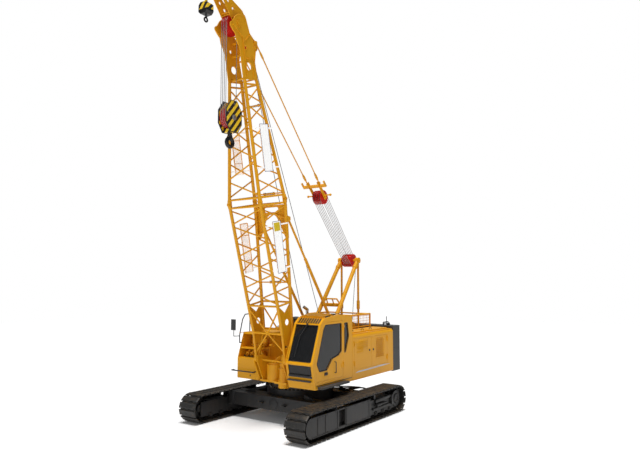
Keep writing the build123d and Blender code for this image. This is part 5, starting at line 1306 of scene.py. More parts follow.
@dataclass
class SlewGear(Assembly):
    """The slewing ring's teeth and bolts, the travel hoses, and the carbody's fittings."""

    radius: float = 0.868
    tooth: float = 0.03
    low: float = 0.99
    high: float = 1.146
    teeth: int = 96
    bolt_radius: float = 0.975
    bolt_count: int = 48

    def gear(self) -> Piece:
        """Cut one tooth and set it round the ring."""
        tooth = self.sheet(
            "ring_tooth", "Z", self.low,
            ((self.radius, -0.02), (self.radius + self.tooth, -0.009),
             (self.radius + self.tooth, 0.009), (self.radius, 0.02)), self.high - self.low,
            bevel=0.002, segments=1)
        turns = [
            Matrix.Rotation(math.tau * index / self.teeth, 4, "Z") for index in range(self.teeth)]
        return self.repeat("slewing_teeth", tooth, turns)

    def bolts(self) -> Piece:
        """Set the ring of bolts on the hub."""
        bolt = self.bolt(
            "hub_bolt", (self.bolt_radius, 0.0, 0.984), (self.bolt_radius, 0.0, 1.004), 0.017)
        turns = [
            Matrix.Rotation(math.tau * index / self.bolt_count, 4, "Z")
            for index in range(self.bolt_count)]
        return self.repeat("hub_bolts", bolt, turns)

    def hoses(self) -> Piece:
        """Run the travel hoses from the hub to the side frames' motors."""
        pieces = []
        for side in BOTH:
            for index in range(4):
                off = index * 0.045
                pieces.append(self.tube(
                    "travel_hose",
                    ((side * 0.55, 0.98 + off * 0.3, 0.7 + off),
                     (side * 1.02, 1.18 + off * 0.5, 0.72 + off), (side * 1.35, 1.62, 0.8),
                     (side * (1.49 + off * 0.3), 2.02, 0.66 - off * 0.5),
                     (side * 1.56, 2.18 + off * 0.4, 0.55)), 0.019, corner=0.12, resolution=2))
        return self.join("travel_hoses", pieces)

    def fittings(self) -> Piece:
        """Put flanges, gussets and access covers on the carbody."""
        pieces = []
        for along in BOTH:
            y = -0.115 + along * 0.95
            for side in BOTH:
                pieces.append(self.box(
                    "beam_flange", (side * 1.74 - 0.13, y - 0.3, 0.385),
                    (side * 1.74 + 0.13, y + 0.3, 0.815), bevel=0.012))
                for off in (-0.22, 0.0, 0.22):
                    for z in (0.45, 0.75):
                        x = side * 1.605
                        pieces.append(self.bolt(
                            "flange_bolt", (x, y + off, z), (x - side * 0.026, y + off, z), 0.022))
                pieces.append(self.sheet(
                    "beam_gusset", "Y", y - 0.01,
                    ((side * 0.98, 0.8), (side * 1.45, 0.8), (side * 0.98, 0.94)), 0.024,
                    bevel=0.003, segments=1))
            pieces.append(self.turned(
                "access_cover", ((0.0, 0.16), (0.012, 0.16), (0.016, 0.15), (0.016, 0.0)),
                (0.0, y + along * 0.281, 0.6), (0.0, along, 0.0), steps=28))
        return self.join("carbody_fittings", pieces)

    def build(self) -> None:
        """Make the ring and the carbody's fittings."""
        self.done(self.gear(), "undercarriage", Finish.GREASE, smooth=20.0)
        self.done(self.bolts(), "undercarriage", Finish.STEEL)
        self.done(self.hoses(), "undercarriage", Finish.RUBBER_AND_SHADE)
        self.done(self.fittings(), "undercarriage", Finish.DARK_PAINT)


# ---------------------------------------------------------------- cab


@dataclass
class CabFittings(Assembly):
    """Window seals, wiper, rails, brow slats, handles, seat and controls of the cab."""

    inner: float = 0.758
    outer: float = 1.737
    front: Pairs = ((-1.542, 1.214), (-1.7, 1.95), (-1.275, 3.08), (-1.09, 3.235), (-0.3, 3.325))
    door: Pairs = (
        (-0.89, 3.045), (-0.18, 3.045), (-0.18, 2.21), (-0.33, 2.1), (-0.69, 2.02), (-0.96, 1.72),
        (-1.35, 1.72), (-1.475, 1.945), (-1.13, 2.93), (-1.04, 3.045))
    rear: Pairs = ((-0.01, 3.045), (0.17, 3.045), (0.235, 2.63), (0.06, 2.16), (-0.01, 2.14))

    def on_edge(self, corner: int, share: float, out: float = 0.0) -> Pair:
        """Find a place on the cab's front line, so far outside its skin.

        Args:
            corner: the edge's first corner.
            share: share of the edge.
            out: distance off the skin.

        Returns:
            The place as (y, z).
        """
        start, end = Vector(self.front[corner]), Vector(self.front[corner + 1])
        spot = start.lerp(end, share)
        edge = (end - start).normalized()
        return spot.x - edge.y * out, spot.y + edge.x * out

    def seal(self, name: str, loop: Sequence[Pair], x: float, radius: float = 0.011) -> Piece:
        """Run a rubber seal round a side window."""
        return self.tube(
            name, [(x, y, z) for y, z in loop], radius, corner=0.03, resolution=2, closed=True)

    def front_seal(self, name: str, corner: int, low: float, high: float) -> Piece:
        """Run a rubber seal round one of the front windows."""
        (y0, z0), (y1, z1) = self.on_edge(corner, low, 0.002), self.on_edge(corner, high, 0.002)
        x0, x1 = self.inner + 0.078, self.outer - 0.078
        return self.tube(
            name, ((x0, y0, z0), (x1, y0, z0), (x1, y1, z1), (x0, y1, z1)), 0.01, corner=0.03,
            resolution=2, closed=True)

    def seals(self) -> None:
        """Seal every window; the door's seal rides on the door."""
        pieces = [
            self.seal("rear_window_seal", self.rear, self.outer - 0.002),
            self.front_seal("lower_seal", 0, 0.555, 0.955),
            self.front_seal("screen_seal", 1, 0.055, 0.965),
            self.front_seal("roof_seal", 3, 0.105, 0.915),
            self.seal(
                "right_window_seal", ((-1.4, 2.05), (-1.08, 2.95), (0.25, 2.95), (0.25, 2.05)),
                self.inner + 0.002)]
        self.hang("cab_seals", pieces, "upper", Finish.RUBBER_AND_SHADE)
        self.done(
            self.seal("door_window_seal", self.door, self.outer - 0.002), "cab_door", Finish.RUBBER_AND_SHADE)

    def door_fittings(self) -> None:
        """Put the handle and the grab bar on the door."""
        x = self.outer
        pieces = [
            self.box(
                "handle_cup", (x + 0.001, -1.1, 1.575), (x + 0.014, -0.94, 1.665), bevel=0.006),
            self.tube(
                "handle_grip",
                ((x + 0.012, -1.085, 1.62), (x + 0.045, -1.08, 1.62), (x + 0.045, -0.96, 1.62),
                 (x + 0.012, -0.955, 1.62)), 0.01, corner=0.014),
            self.tube(
                "door_grab",
                ((x, -0.55, 1.6), (x + 0.055, -0.55, 1.6), (x + 0.055, -0.55, 1.92),
                 (x, -0.55, 1.92)), 0.013, corner=0.02)]
        self.hang("door_handles", pieces, "cab_door", Finish.PLASTIC)

    def outside(self) -> None:
        """Put rails, the wiper, the brow and the sill strip on the cab."""
        x0, x1 = self.inner + 0.035, self.outer - 0.035
        dark, paint, lens = [], [], []
        (ya, za), (yb, zb) = self.on_edge(1, 0.1, 0.05), self.on_edge(1, 0.42, 0.05)
        (yc, zc), (yd, zd) = self.on_edge(1, 0.1, 0.0), self.on_edge(1, 0.42, 0.0)
        paint.append(self.tube(
            "front_grab", ((x0, yc, zc), (x0, ya, za), (x0, yb, zb), (x0, yd, zd)), 0.014,
            corner=0.03))
        y, z = self.on_edge(0, 0.975, 0.006)
        paint.append(self.box(
            "middle_bar", (self.inner + 0.02, y - 0.012, z - 0.028),
            (self.outer - 0.02, y + 0.016, z + 0.028), bevel=0.01))
        y, z = self.on_edge(0, 0.5, 0.004)
        dark.append(self.box(
            "lower_trim", (self.inner + 0.06, y - 0.008, z - 0.03),
            (self.outer - 0.06, y + 0.012, z + 0.03), bevel=0.005))
        pivot = self.on_edge(1, 0.985, 0.022)
        tip = self.on_edge(1, 0.4, 0.02)
        dark.append(self.tube(
            "wiper_arm", ((1.27, *pivot), (1.1, *self.on_edge(1, 0.68, 0.034)), (1.06, *tip)),
            0.007, corner=0.02, resolution=2))
        dark.append(self.tube(
            "wiper_blade",
            ((1.09, *self.on_edge(1, 0.72, 0.017)), (1.05, *self.on_edge(1, 0.16, 0.017))), 0.008,
            resolution=2))
        dark.append(self.turned(
            "wiper_motor",
            ((-0.006, 0.0), (-0.006, 0.03), (0.024, 0.03), (0.03, 0.022), (0.03, 0.0)),
            (1.27, *pivot), (0.0, -0.9, 0.4), steps=18))
        x0, x1 = self.inner + 0.085, self.outer - 0.085
        (ya, za), (yb, zb) = self.on_edge(2, 0.1, 0.002), self.on_edge(2, 0.93, 0.002)
        (yc, zc), (yd, zd) = self.on_edge(2, 0.1, 0.012), self.on_edge(2, 0.93, 0.012)
        lens.append(self.sheet(
            "brow_glass", "X", x0, ((ya, za), (yb, zb), (yd, zd), (yc, zc)), x1 - x0, bevel=0.002))
        (ye, ze), (yf, zf) = self.on_edge(2, 0.02, 0.034), self.on_edge(2, 1.0, 0.04)
        (yg, zg), (yh, zh) = self.on_edge(2, 0.02, 0.01), self.on_edge(2, 1.0, 0.01)
        for index in range(9):
            x = x0 + (x1 - x0) * (index + 0.5) / 9 - 0.008
            paint.append(self.sheet(
                "brow_slat", "X", x, ((yg, zg), (yh, zh), (yf, zf), (ye, ze)), 0.016, bevel=0.003))
        dark.append(self.box("roof_vent", (1.02, 0.02, 3.272), (1.46, 0.32, 3.3), bevel=0.01))
        dark.append(self.tube(
            "sill_strip", ((self.outer + 0.004, -1.5, 1.33), (self.outer + 0.004, 0.4, 1.33)),
            0.007, resolution=1))
        self.hang("cab_rails", paint, "upper", Finish.PAINT)
        self.hang("cab_dark_fittings", dark, "upper", Finish.PLASTIC)
        self.hang("brow_glass", lens, "upper", Finish.PLASTIC, "tinted_glass")

    def inside(self) -> None:
        """Fit the seat's cushions, arm rests, levers, pedals and screen."""
        x, floor = (self.inner + self.outer) / 2, 1.265
        seat = [
            self.box(
                "seat_pad", (x - 0.245, -0.64, floor + 0.5), (x + 0.245, -0.15, floor + 0.585),
                bevel=0.034, segments=4),
            self.box(
                "back_pad", (x - 0.225, -0.24, floor + 0.56), (x + 0.225, -0.15, floor + 1.12),
                bevel=0.04, segments=4),
            self.box(
                "head_pad", (x - 0.13, -0.215, floor + 1.16), (x + 0.13, -0.13, floor + 1.33),
                bevel=0.034, segments=4)]
        for side in BOTH:
            seat.append(self.box(
                "bolster", (x + side * 0.225 - 0.035, -0.62, floor + 0.545),
                (x + side * 0.225 + 0.035, -0.18, floor + 0.625), bevel=0.026, segments=3))
        self.hang("driver_seat_cushions", seat, "upper", Finish.SEAT)
        trim = []
        for side in BOTH:
            trim.append(self.box(
                "arm_rest", (x + side * 0.33 - 0.045, -0.6, floor + 0.665),
                (x + side * 0.33 + 0.045, -0.2, floor + 0.715), bevel=0.018, segments=3))
            for y in (-0.645, -0.56):
                trim.append(self.bar(
                    "lever_boot", (x + side * 0.32, y, floor + 0.63),
                    (x + side * 0.32, y, floor + 0.69), 0.034, far_radius=0.014))
                trim.append(self.tube(
                    "lever_stem",
                    ((x + side * 0.32, y, floor + 0.68), (x + side * 0.32, y - 0.025, floor + 0.8)),
                    0.008))
                trim.append(self.turned(
                    "lever_knob",
                    ((0.0, 0.0), (0.006, 0.018), (0.03, 0.025), (0.06, 0.02), (0.072, 0.0)),
                    (x + side * 0.32, y - 0.025, floor + 0.79), (0.0, -0.2, 1.0), steps=14))
        for side in BOTH:
            trim.append(self.plate(
                "pedal",
                ((x + side * 0.11 - 0.045, -1.3, floor + 0.16),
                 (x + side * 0.11 + 0.045, -1.3, floor + 0.16),
                 (x + side * 0.11 + 0.045, -1.14, floor + 0.06),
                 (x + side * 0.11 - 0.045, -1.14, floor + 0.06)), (0.0, 0.008, 0.014), bevel=0.004))
        trim.append(self.box(
            "screen_case", (x - 0.4, -1.155, floor + 0.86), (x - 0.14, -1.115, floor + 1.06),
            bevel=0.01))
        trim.append(self.bar(
            "screen_post", (x - 0.27, -1.13, floor + 0.5), (x - 0.27, -1.13, floor + 0.87), 0.014))
        trim.append(self.box(
            "dashboard", (self.inner + 0.06, -1.43, floor + 0.4),
            (self.inner + 0.3, -0.9, floor + 0.52), bevel=0.03, segments=3))
        self.hang("cab_controls", trim, "upper", Finish.CAB_TRIM)

    def build(self) -> None:
        """Fit the whole cab."""
        self.seals()
        self.door_fittings()
        self.outside()
        self.inside()


# ---------------------------------------------------------------- ropes


@dataclass
class Rigging(Assembly):
    """Every running rope: falls, wraps on the sheaves, hoist and luffing lines and drum coils."""

    across: Vector = Vector((1.0, 0.0, 0.0))
    pitch: float = 0.066
    rope: float = 0.01
    head: Point = (-3.381, 11.828, 0.282)
    block: Point = (-3.381, 9.06, 0.282)
    tip: Point = (-4.198, 12.912, 0.191)
    guide: Point = (-2.685, 11.311, 0.152)
    bridle: Point = (1.128, 7.228, 0.228)
    gantry: Point = (2.985, 5.07, 0.218)
    drums: tuple[tuple[str, float, float], ...] = (
        ("main_drum", 0.33, 1.96), ("aux_drum", 1.78, 2.01), ("luffing_drum", 2.64, 2.56))
    hoist_ends: tuple[Point, Point] = ((0.0, 0.574, 1.96), (0.0, -2.533, 11.296))
    barrel: float = 0.244
    coils: int = 28
    coil_pitch: float = 0.0205
    tuck: float = 0.0015
    aux_top: float = 12.18
    aux_leave: float = 43.4
    main_leave: float = 53.4
    luff_leave: float = 40.7
    aux_square: Point = (0.0, 0.727, 0.687)
    main_square: Point = (0.0, 0.596, 0.803)
    luff_square: Point = (0.0, 0.758, 0.652)

    def lay(self, piece: Piece, path: Sequence[Vector]) -> Piece:
        """Map a rope's faces: once round it in u, metres along it in v.

        Args:
            piece: the rope's mesh.
            path: the points that it follows.

        Returns:
            The piece.
        """
        mesh = piece.data
        while mesh.uv_layers:
            mesh.uv_layers.remove(mesh.uv_layers[0])
        layer = mesh.uv_layers.new(name="lay")
        runs, total = [], 0.0
        for start, end in zip(path, path[1:]):
            runs.append((start, (end - start).normalized(), (end - start).length, total))
            total += runs[-1][2]
        places = []
        for vertex in mesh.vertices:
            best = None
            for start, course, length, before in runs:
                along = min(max((vertex.co - start).dot(course), 0.0), length)
                off = vertex.co - start - course * along
                if best is None or off.length < best[0]:
                    best = (off.length, before + along, off, course)
            turn = math.atan2(
                best[2].dot(best[3].cross(self.across)), best[2].dot(self.across)) / math.tau
            places.append((turn, best[1]))
        for face in mesh.polygons:
            first = places[mesh.loops[face.loop_start].vertex_index][0]
            for loop in face.loop_indices:
                turn, along = places[mesh.loops[loop].vertex_index]
                layer.data[loop].uv = (turn + round(first - turn), along)
        return piece

    def line(self, name: str, points: Chain, closed: bool = False) -> Piece:
        """Run a rope along points and map its lay."""
        piece = self.tube(name, points, self.rope, resolution=1, closed=closed)
        path = [Vector(point) for point in points]
        return self.lay(piece, path + path[:1] if closed else path)

    def arc(
            self, wheel: Point, x: float, start: float, end: float,
            steps: int = 12) -> list[Vector]:
        """Find points round a sheave, from one angle to another in degrees, from +Y towards +Z."""
        y, z, radius = wheel
        turns = [math.radians(start + (end - start) * index / steps) for index in range(steps + 1)]
        return [
            Vector((x, y + radius * math.cos(turn), z + radius * math.sin(turn))) for turn in turns]

    def falls(self) -> Pieces:
        """Reeve the main block with four falls that wrap the head's sheaves and the block's, and
        ride on the block.
        """
        pieces = []
        for index in range(4):
            x = (index - 1.5) * self.pitch
            top = self.arc(self.head, x, 180.0, 30.0 if index != 1 else 0.0)
            low = [point + Vector((0.0, 0.0, self.block[1] - self.head[1])) for point in top[:1]]
            path = self.arc(self.block, x, 350.0 if index != 1 else 360.0, 180.0)[:-1] + low + top
            if index == 1:
                path = [Vector((x, self.head[0] + self.head[2], self.head[1]))] + path[:-1]
            pieces.append(self.line("main_fall", path))
        return pieces

    def aux_line(self) -> Piece:
        """Hang the aux hook from the tip sheave."""
        y, _, radius = self.tip
        path = [Vector((
            0.0, y - radius, self.aux_top))] + self.arc(self.tip, 0.0, 180.0, self.aux_leave)
        return self.line("aux_line", path)

    def leads(self) -> Pieces:
        """Lay the leads between the head's sheaves and the wraps under the falls."""
        pieces = []
        y, z, radius = self.tip
        off = self.pitch / 2
        square = Vector(self.aux_square)
        start = Vector((off, *self.guide[:2])) + square * self.guide[2]
        pieces.append(self.line("aux_lead", [start, Vector((0.0, y, z)) + square * radius]))
        square = Vector(self.main_square)
        start = Vector((-off, *self.guide[:2])) + square * self.guide[2]
        end = Vector((off, *self.head[:2])) + square * self.head[2]
        pieces.append(self.line("main_lead", [start, end]))
        for x, last in ((off, self.aux_leave), (-off, self.main_leave)):
            pieces.append(self.line("guide_wrap", self.arc(self.guide, x, -6.0, last, 6)))
        inner = (self.head[0], self.head[1], self.head[2] - self.tuck)
        for index in range(4):
            pieces.append(self.line(
                "head_wrap", self.arc(inner, (index - 1.5) * self.pitch, 180.0, 30.0)))
        pieces.append(self.line(
            "tip_wrap", self.arc((y, z, radius - self.tuck), 0.0, 180.0, self.aux_leave)))
        return pieces

    def hoists(self) -> Piece:
        """Run the two hoist lines up behind the boom to the guide sheaves."""
        y, z, radius = self.guide
        main, aux, _ = self.drums
        off, top = self.pitch / 2, z - 0.015
        pieces = [
            self.line(
                "main_hoist",
                [Vector((-off, main[1] + self.barrel, main[2])), Vector((-off, y + radius, top))]),
            self.line(
                "aux_hoist",
                [Vector((off, aux[1] - self.barrel, aux[2])), Vector((off, y + radius, top))])]
        return self.join("hoist_lines", pieces)

    def luffing(self) -> Piece:
        """Run the ten parts between the gantry and the bridle."""
        square = Vector(self.luff_square)
        gantry = Vector((0.0, *self.gantry[:2]))
        bridle = Vector((0.0, *self.bridle[:2]))
        pieces = []
        for index in range(5):
            far = (index - 2.0) * self.pitch
            for side, near in (
                    (1.0, (index - 2.5) * self.pitch), (-1.0, (index - 1.5) * self.pitch)):
                start = gantry + square * side * self.gantry[2] + self.across * near
                end = bridle + square * side * self.bridle[2] + self.across * far
                pieces.append(self.line("luffing_part", [start, end]))
        return self.join("luffing_parts", pieces)

    def build(self) -> None:
        """Reeve the whole crane."""
        piece = self.hang("main_block_falls", self.falls(), "main_block", Finish.ROPE)
        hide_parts("main_falls")
        piece = self.done(self.aux_line(), "aux_block", Finish.ROPE)
        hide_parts("aux_fall")
        self.hang("head_leads", self.leads(), "boom", Finish.ROPE)
        self.done(self.hoists(), ("upper", "boom", *self.hoist_ends), Finish.HOIST_ROPE)
        self.done(
            self.luffing(), ("upper", "boom", (0.0, *self.gantry[:2]), (0.0, *self.bridle[:2])),
            Finish.ROPE)
        wraps = [
            self.line(
                "bridle_wrap",
                self.arc(
                    self.bridle, (index - 2.0) * self.pitch, self.luff_leave,
                    self.luff_leave + 180.0)) for index in range(5)]
        self.hang("bridle_wraps", wraps, "boom", Finish.HOIST_ROPE)
        wraps = [
            self.line(
                "gantry_wrap",
                self.arc(
                    self.gantry, (index - 2.5) * self.pitch, self.luff_leave - 180.0,
                    self.luff_leave)) for index in range(6)]
        y, z, radius = self.gantry
        _, drum_y, drum_z = self.drums[2]
        wraps.append(self.line(
            "luffing_lead",
            [Vector((2.5 * self.pitch, y + radius, z)),
             Vector((2.5 * self.pitch, drum_y + self.barrel, drum_z))]))
        self.hang("gantry_wraps", wraps, "upper", Finish.HOIST_ROPE)
        for name, y, z in self.drums:
            ring = self.line(
                "coil", self.arc((y, z, self.barrel), 0.0, 0.0, 345.0, 23), closed=True)
            turns = self.repeat(
                f"{name}_coils", ring,
                [Matrix.Translation(((index - (self.coils - 1) / 2) * self.coil_pitch, 0.0, 0.0))
                 for index in range(self.coils)])
            self.done(turns, name, Finish.ROPE)


# ---------------------------------------------------------------- boom and hooks


@dataclass
class BoomFittings(Assembly):
    """Section joints, sign borders and frames, rope rollers and foot caps of the boom."""

    joints: Numbers = (4.86,)
    reach: float = 0.13
    pin_half: float = 0.082
    rim: float = 0.014
    roller_places: Numbers = (2.3, 5.05, 7.75)
    signs: tuple[tuple[float, float, float, float, float], ...] = (
        (2.675, 4.235, 0.005, 0.38, 0.666), (5.72, 7.13, 0.02, 0.4, 0.598))

    def connectors(self) -> Pieces:
        """Put sleeves, ears and a pin on each chord at the section joints."""
        pieces = []
        for along in self.joints:
            for side in BOTH:
                for back in BOTH:
                    low, high = (
                        BOOM.chord(side, back, along - self.reach),
                        BOOM.chord(side, back, along + self.reach))
                    spot = BOOM.chord(side, back, along)
                    for near, far in ((low, high), (high, low)):
                        pieces.append(self.bar(
                            "joint_sleeve", near, near.lerp(far, 0.38), 0.06, sides=18, rim=0.15,
                            far_radius=0.068))
                    for off in (-0.036, 0.0, 0.036):
                        pieces.append(self.bar(
                            "joint_ear", spot + Vector((off - 0.013, 0.0, 0.0)),
                            spot + Vector((off + 0.013, 0.0, 0.0)), 0.066, sides=20))
                    half = Vector((self.pin_half, 0.0, 0.0))
                    pieces.append(self.bar("joint_pin", spot - half, spot + half, 0.024, sides=14))
        return pieces

    def frames(self) -> Pieces:
        """Weld thin frames and hangers behind the signs."""
        pieces = []
        for low, high, near, far, face in self.signs:
            for side in BOTH:
                x = side * (face - 0.02)
                loop = (
                    BOOM.at(x, low + 0.02, near + 0.02), BOOM.at(x, high - 0.02, near + 0.02),
                    BOOM.at(x, high - 0.02, far - 0.02), BOOM.at(x, low + 0.02, far - 0.02))
                pieces.append(self.tube(
                    "sign_frame", loop, 0.012, corner=0.02, resolution=1, closed=True))
                for share in (0.25, 0.75):
                    along = low + (high - low) * share
                    pieces.append(self.bar(
                        "sign_rung", BOOM.at(x, along, near + 0.01), BOOM.at(x, along, far - 0.01),
                        0.01, sides=8))
        return pieces

    def rollers(self) -> tuple[Pieces, Pieces]:
        """Fit rope rollers across the rear chords, on brackets."""
        frames, rolls = [], []
        for along in self.roller_places:
            left, right = BOOM.chord(1.0, 1.0, along), BOOM.chord(-1.0, 1.0, along)
            frames.append(self.bar("roller_axle", left, right, 0.02, sides=12))
            spot = (left + right) / 2 + BOOM.rear * 0.045
            for x in (-0.2, 0.2):
                foot = spot + Vector((x, 0.0, 0.0))
                low, high = foot - BOOM.rear * 0.055, foot + BOOM.rear * 0.035
                frames.append(self.plate(
                    "roller_cheek",
                    (low - BOOM.up * 0.05, low + BOOM.up * 0.05, high + BOOM.up * 0.025,
                     high - BOOM.up * 0.025), (0.01, 0.0, 0.0)))
            rolls.append(self.turned(
                "rope_roller",
                ((-0.185, 0.0), (-0.185, 0.046), (-0.16, 0.046), (-0.15, 0.034), (0.15, 0.034),
                 (0.16, 0.046), (0.185, 0.046), (0.185, 0.0)), spot, steps=20))
        return frames, rolls

    def flat(self, name: str, x: float, run: Four, depth: float) -> Piece:
        """Lay a thin plate between two places up the boom and two places behind it."""
        low, high, near, far = run
        return self.plate(
            name,
            (BOOM.at(x, low, near), BOOM.at(x, high, near), BOOM.at(x, high, far),
             BOOM.at(x, low, far)), (depth, 0.0, 0.0), bevel=0.001, segments=1)

    def borders(self) -> tuple[Pieces, Pieces]:
        """Edge the signs, and put a blank yellow patch at the head of the lower ones."""
        edges, patches = [], []
        for index, (low, high, near, far, face) in enumerate(self.signs):
            for side in BOTH:
                x, rim = side * (face - 0.001), self.rim
                for run in (
                        (low, high, near, near + rim), (low, high, far - rim, far),
                        (low, low + rim, near, far), (high - rim, high, near, far)):
                    edges.append(self.flat("sign_border", x, run, side * 0.004))
                if index == 0:
                    patches.append(self.flat(
                        "sign_patch", x, (high - 0.3, high - 0.045, near + 0.05, far - 0.05),
                        side * 0.004))
        return edges, patches

    def foot(self) -> Pieces:
        """Cap the foot pins and ring the caps with bolts."""
        pieces = []
        for side in BOTH:
            pieces.append(self.turned(
                "foot_cap",
                ((0.0, 0.105), (0.016, 0.1), (0.022, 0.06), (0.04, 0.055), (0.044, 0.045),
                 (0.044, 0.0)), (side * 0.628, BOOM.pin[1], BOOM.pin[2]), (side, 0.0, 0.0),
                steps=28))
            for off, rise in around(6, 0.08):
                y, z = BOOM.pin[1] + off, BOOM.pin[2] + rise
                pieces.append(self.bolt(
                    "foot_bolt", (side * 0.63, y, z), (side * 0.654, y, z), 0.01))
        return pieces

    def build(self) -> None:
        """Fit out the boom."""
        axles, rolls = self.rollers()
        paint = self.connectors() + self.frames() + axles + self.foot()
        self.hang("boom_fittings", paint, "boom", Finish.PAINT)
        self.hang("boom_rope_rollers", rolls, "boom", Finish.STEEL)
        edges, patches = self.borders()
        self.hang("sign_borders", edges, "boom", Finish.SIGN_EDGE)
        self.hang("sign_patches", patches, "boom", Finish.SIGN_MARK)


@dataclass
class HeadFittings(Assembly):
    """Axle caps and keeper bars at the boom head and the tip."""

    guide_axle: Four = (0.316, -2.685, 11.311, 0.036)
    tip_axle: Four = (0.173, -4.198, 12.912, 0.034)

    def cap(self, x: float, y: float, z: float, radius: float) -> Pieces:
        """Cap both ends of an axle, with a keeper plate and two bolts on each."""
        pieces = []
        for side in BOTH:
            pieces.append(self.turned(
                "axle_cap",
                ((-0.004, radius * 1.5), (0.012, radius * 1.45), (0.016, radius),
                 (0.034, radius * 0.95), (0.038, radius * 0.8), (0.038, 0.0)), (side * x, y, z),
                (side, 0.0, 0.0), steps=24))
            pieces.append(self.sheet(
                "axle_keeper", "X", side * (x + 0.03),
                ((y - radius * 1.3, z + radius * 0.55), (y + radius * 1.3, z + radius * 0.55),
                 (y + radius * 1.3, z + radius * 1.1), (y - radius * 1.3, z + radius * 1.1)),
                side * 0.008, bevel=0.002))
        return pieces

    def build(self) -> None:
        """Fit out the head."""
        pieces = self.cap(*self.guide_axle) + self.cap(*self.tip_axle)
        for x in (-0.15, 0.15):
            pieces.append(self.bar(
                "head_keeper_arm", (x, -3.381, 11.828), (x, -3.6, 12.07), 0.014, sides=10))
        pieces.append(self.bar(
            "head_keeper", (-0.16, -3.612, 12.062), (0.16, -3.612, 12.062), 0.013, sides=12))
        pieces.append(self.bar(
            "tip_keeper", (-0.172, -4.36, 13.065), (0.172, -4.36, 13.065), 0.011, sides=12))
        self.hang("head_fittings", pieces, "boom", Finish.PAINT)


@dataclass
class HookBlocks(Assembly):
    """Bolts, axle caps, the swivel collar, the latch and the rope socket of the two hooks."""

    main: Point = (0.0, -3.381, 9.06)
    aux: Point = (0.0, -4.389, 11.97)
    swivel: float = 8.62
    cheek: float = 0.169
    cheek_bolts: Pairs = ((-0.19, -0.27), (0.19, -0.27), (-0.235, 0.12), (0.235, 0.12), (0.0, 0.4))

    def build(self) -> None:
        """Fit out both hook blocks."""
        _, y, z = self.main
        pieces = []
        for side in BOTH:
            for off, rise in self.cheek_bolts:
                spot = Vector((side * self.cheek, y + off, z + rise))
                pieces.append(self.bolt(
                    "block_bolt", spot, spot + Vector((side * 0.02, 0.0, 0.0)), 0.022, rim=0.1))
            pieces.append(self.turned(
                "block_axle_cap",
                ((0.0, 0.086), (0.01, 0.084), (0.014, 0.062), (0.024, 0.058), (0.026, 0.0)),
                (side * self.cheek, y, z), (side, 0.0, 0.0), steps=24))
        self.hang("main_block_bolts", pieces, "main_block", Finish.STEEL)
        pieces = [
            self.turned(
                "swivel_collar",
                ((-0.03, 0.06), (-0.018, 0.072), (0.012, 0.072), (0.02, 0.064), (0.02, 0.0)),
                (0.0, y, self.swivel), UPWARD),
            self.tube(
                "hook_latch",
                ((0.0, y - 0.075, 8.56), (0.0, y - 0.115, 8.47), (0.0, y - 0.118, 8.405)), 0.011,
                corner=0.03)]
        self.hang("main_hook_fittings", pieces, "main_hook", Finish.HOOK)
        _, y, z = self.aux
        pieces = [self.turned(
            "rope_socket",
            ((-0.01, 0.06), (0.02, 0.062), (0.045, 0.04), (0.21, 0.026), (0.235, 0.018),
             (0.24, 0.0)), (0.0, y, z + 0.165), UPWARD, steps=24)]
        for side in BOTH:
            for off in (-0.09, 0.09):
                for rise in (-0.1, 0.1):
                    spot = Vector((off, y + side * 0.129, z + rise))
                    pieces.append(self.bolt(
                        "weight_bolt", spot, spot + Vector((0.0, side * 0.014, 0.0)), 0.014,
                        rim=0.1))
        self.hang("aux_block_fittings", pieces, "aux_block", Finish.HOOK)


# ---------------------------------------------------------------- superstructure


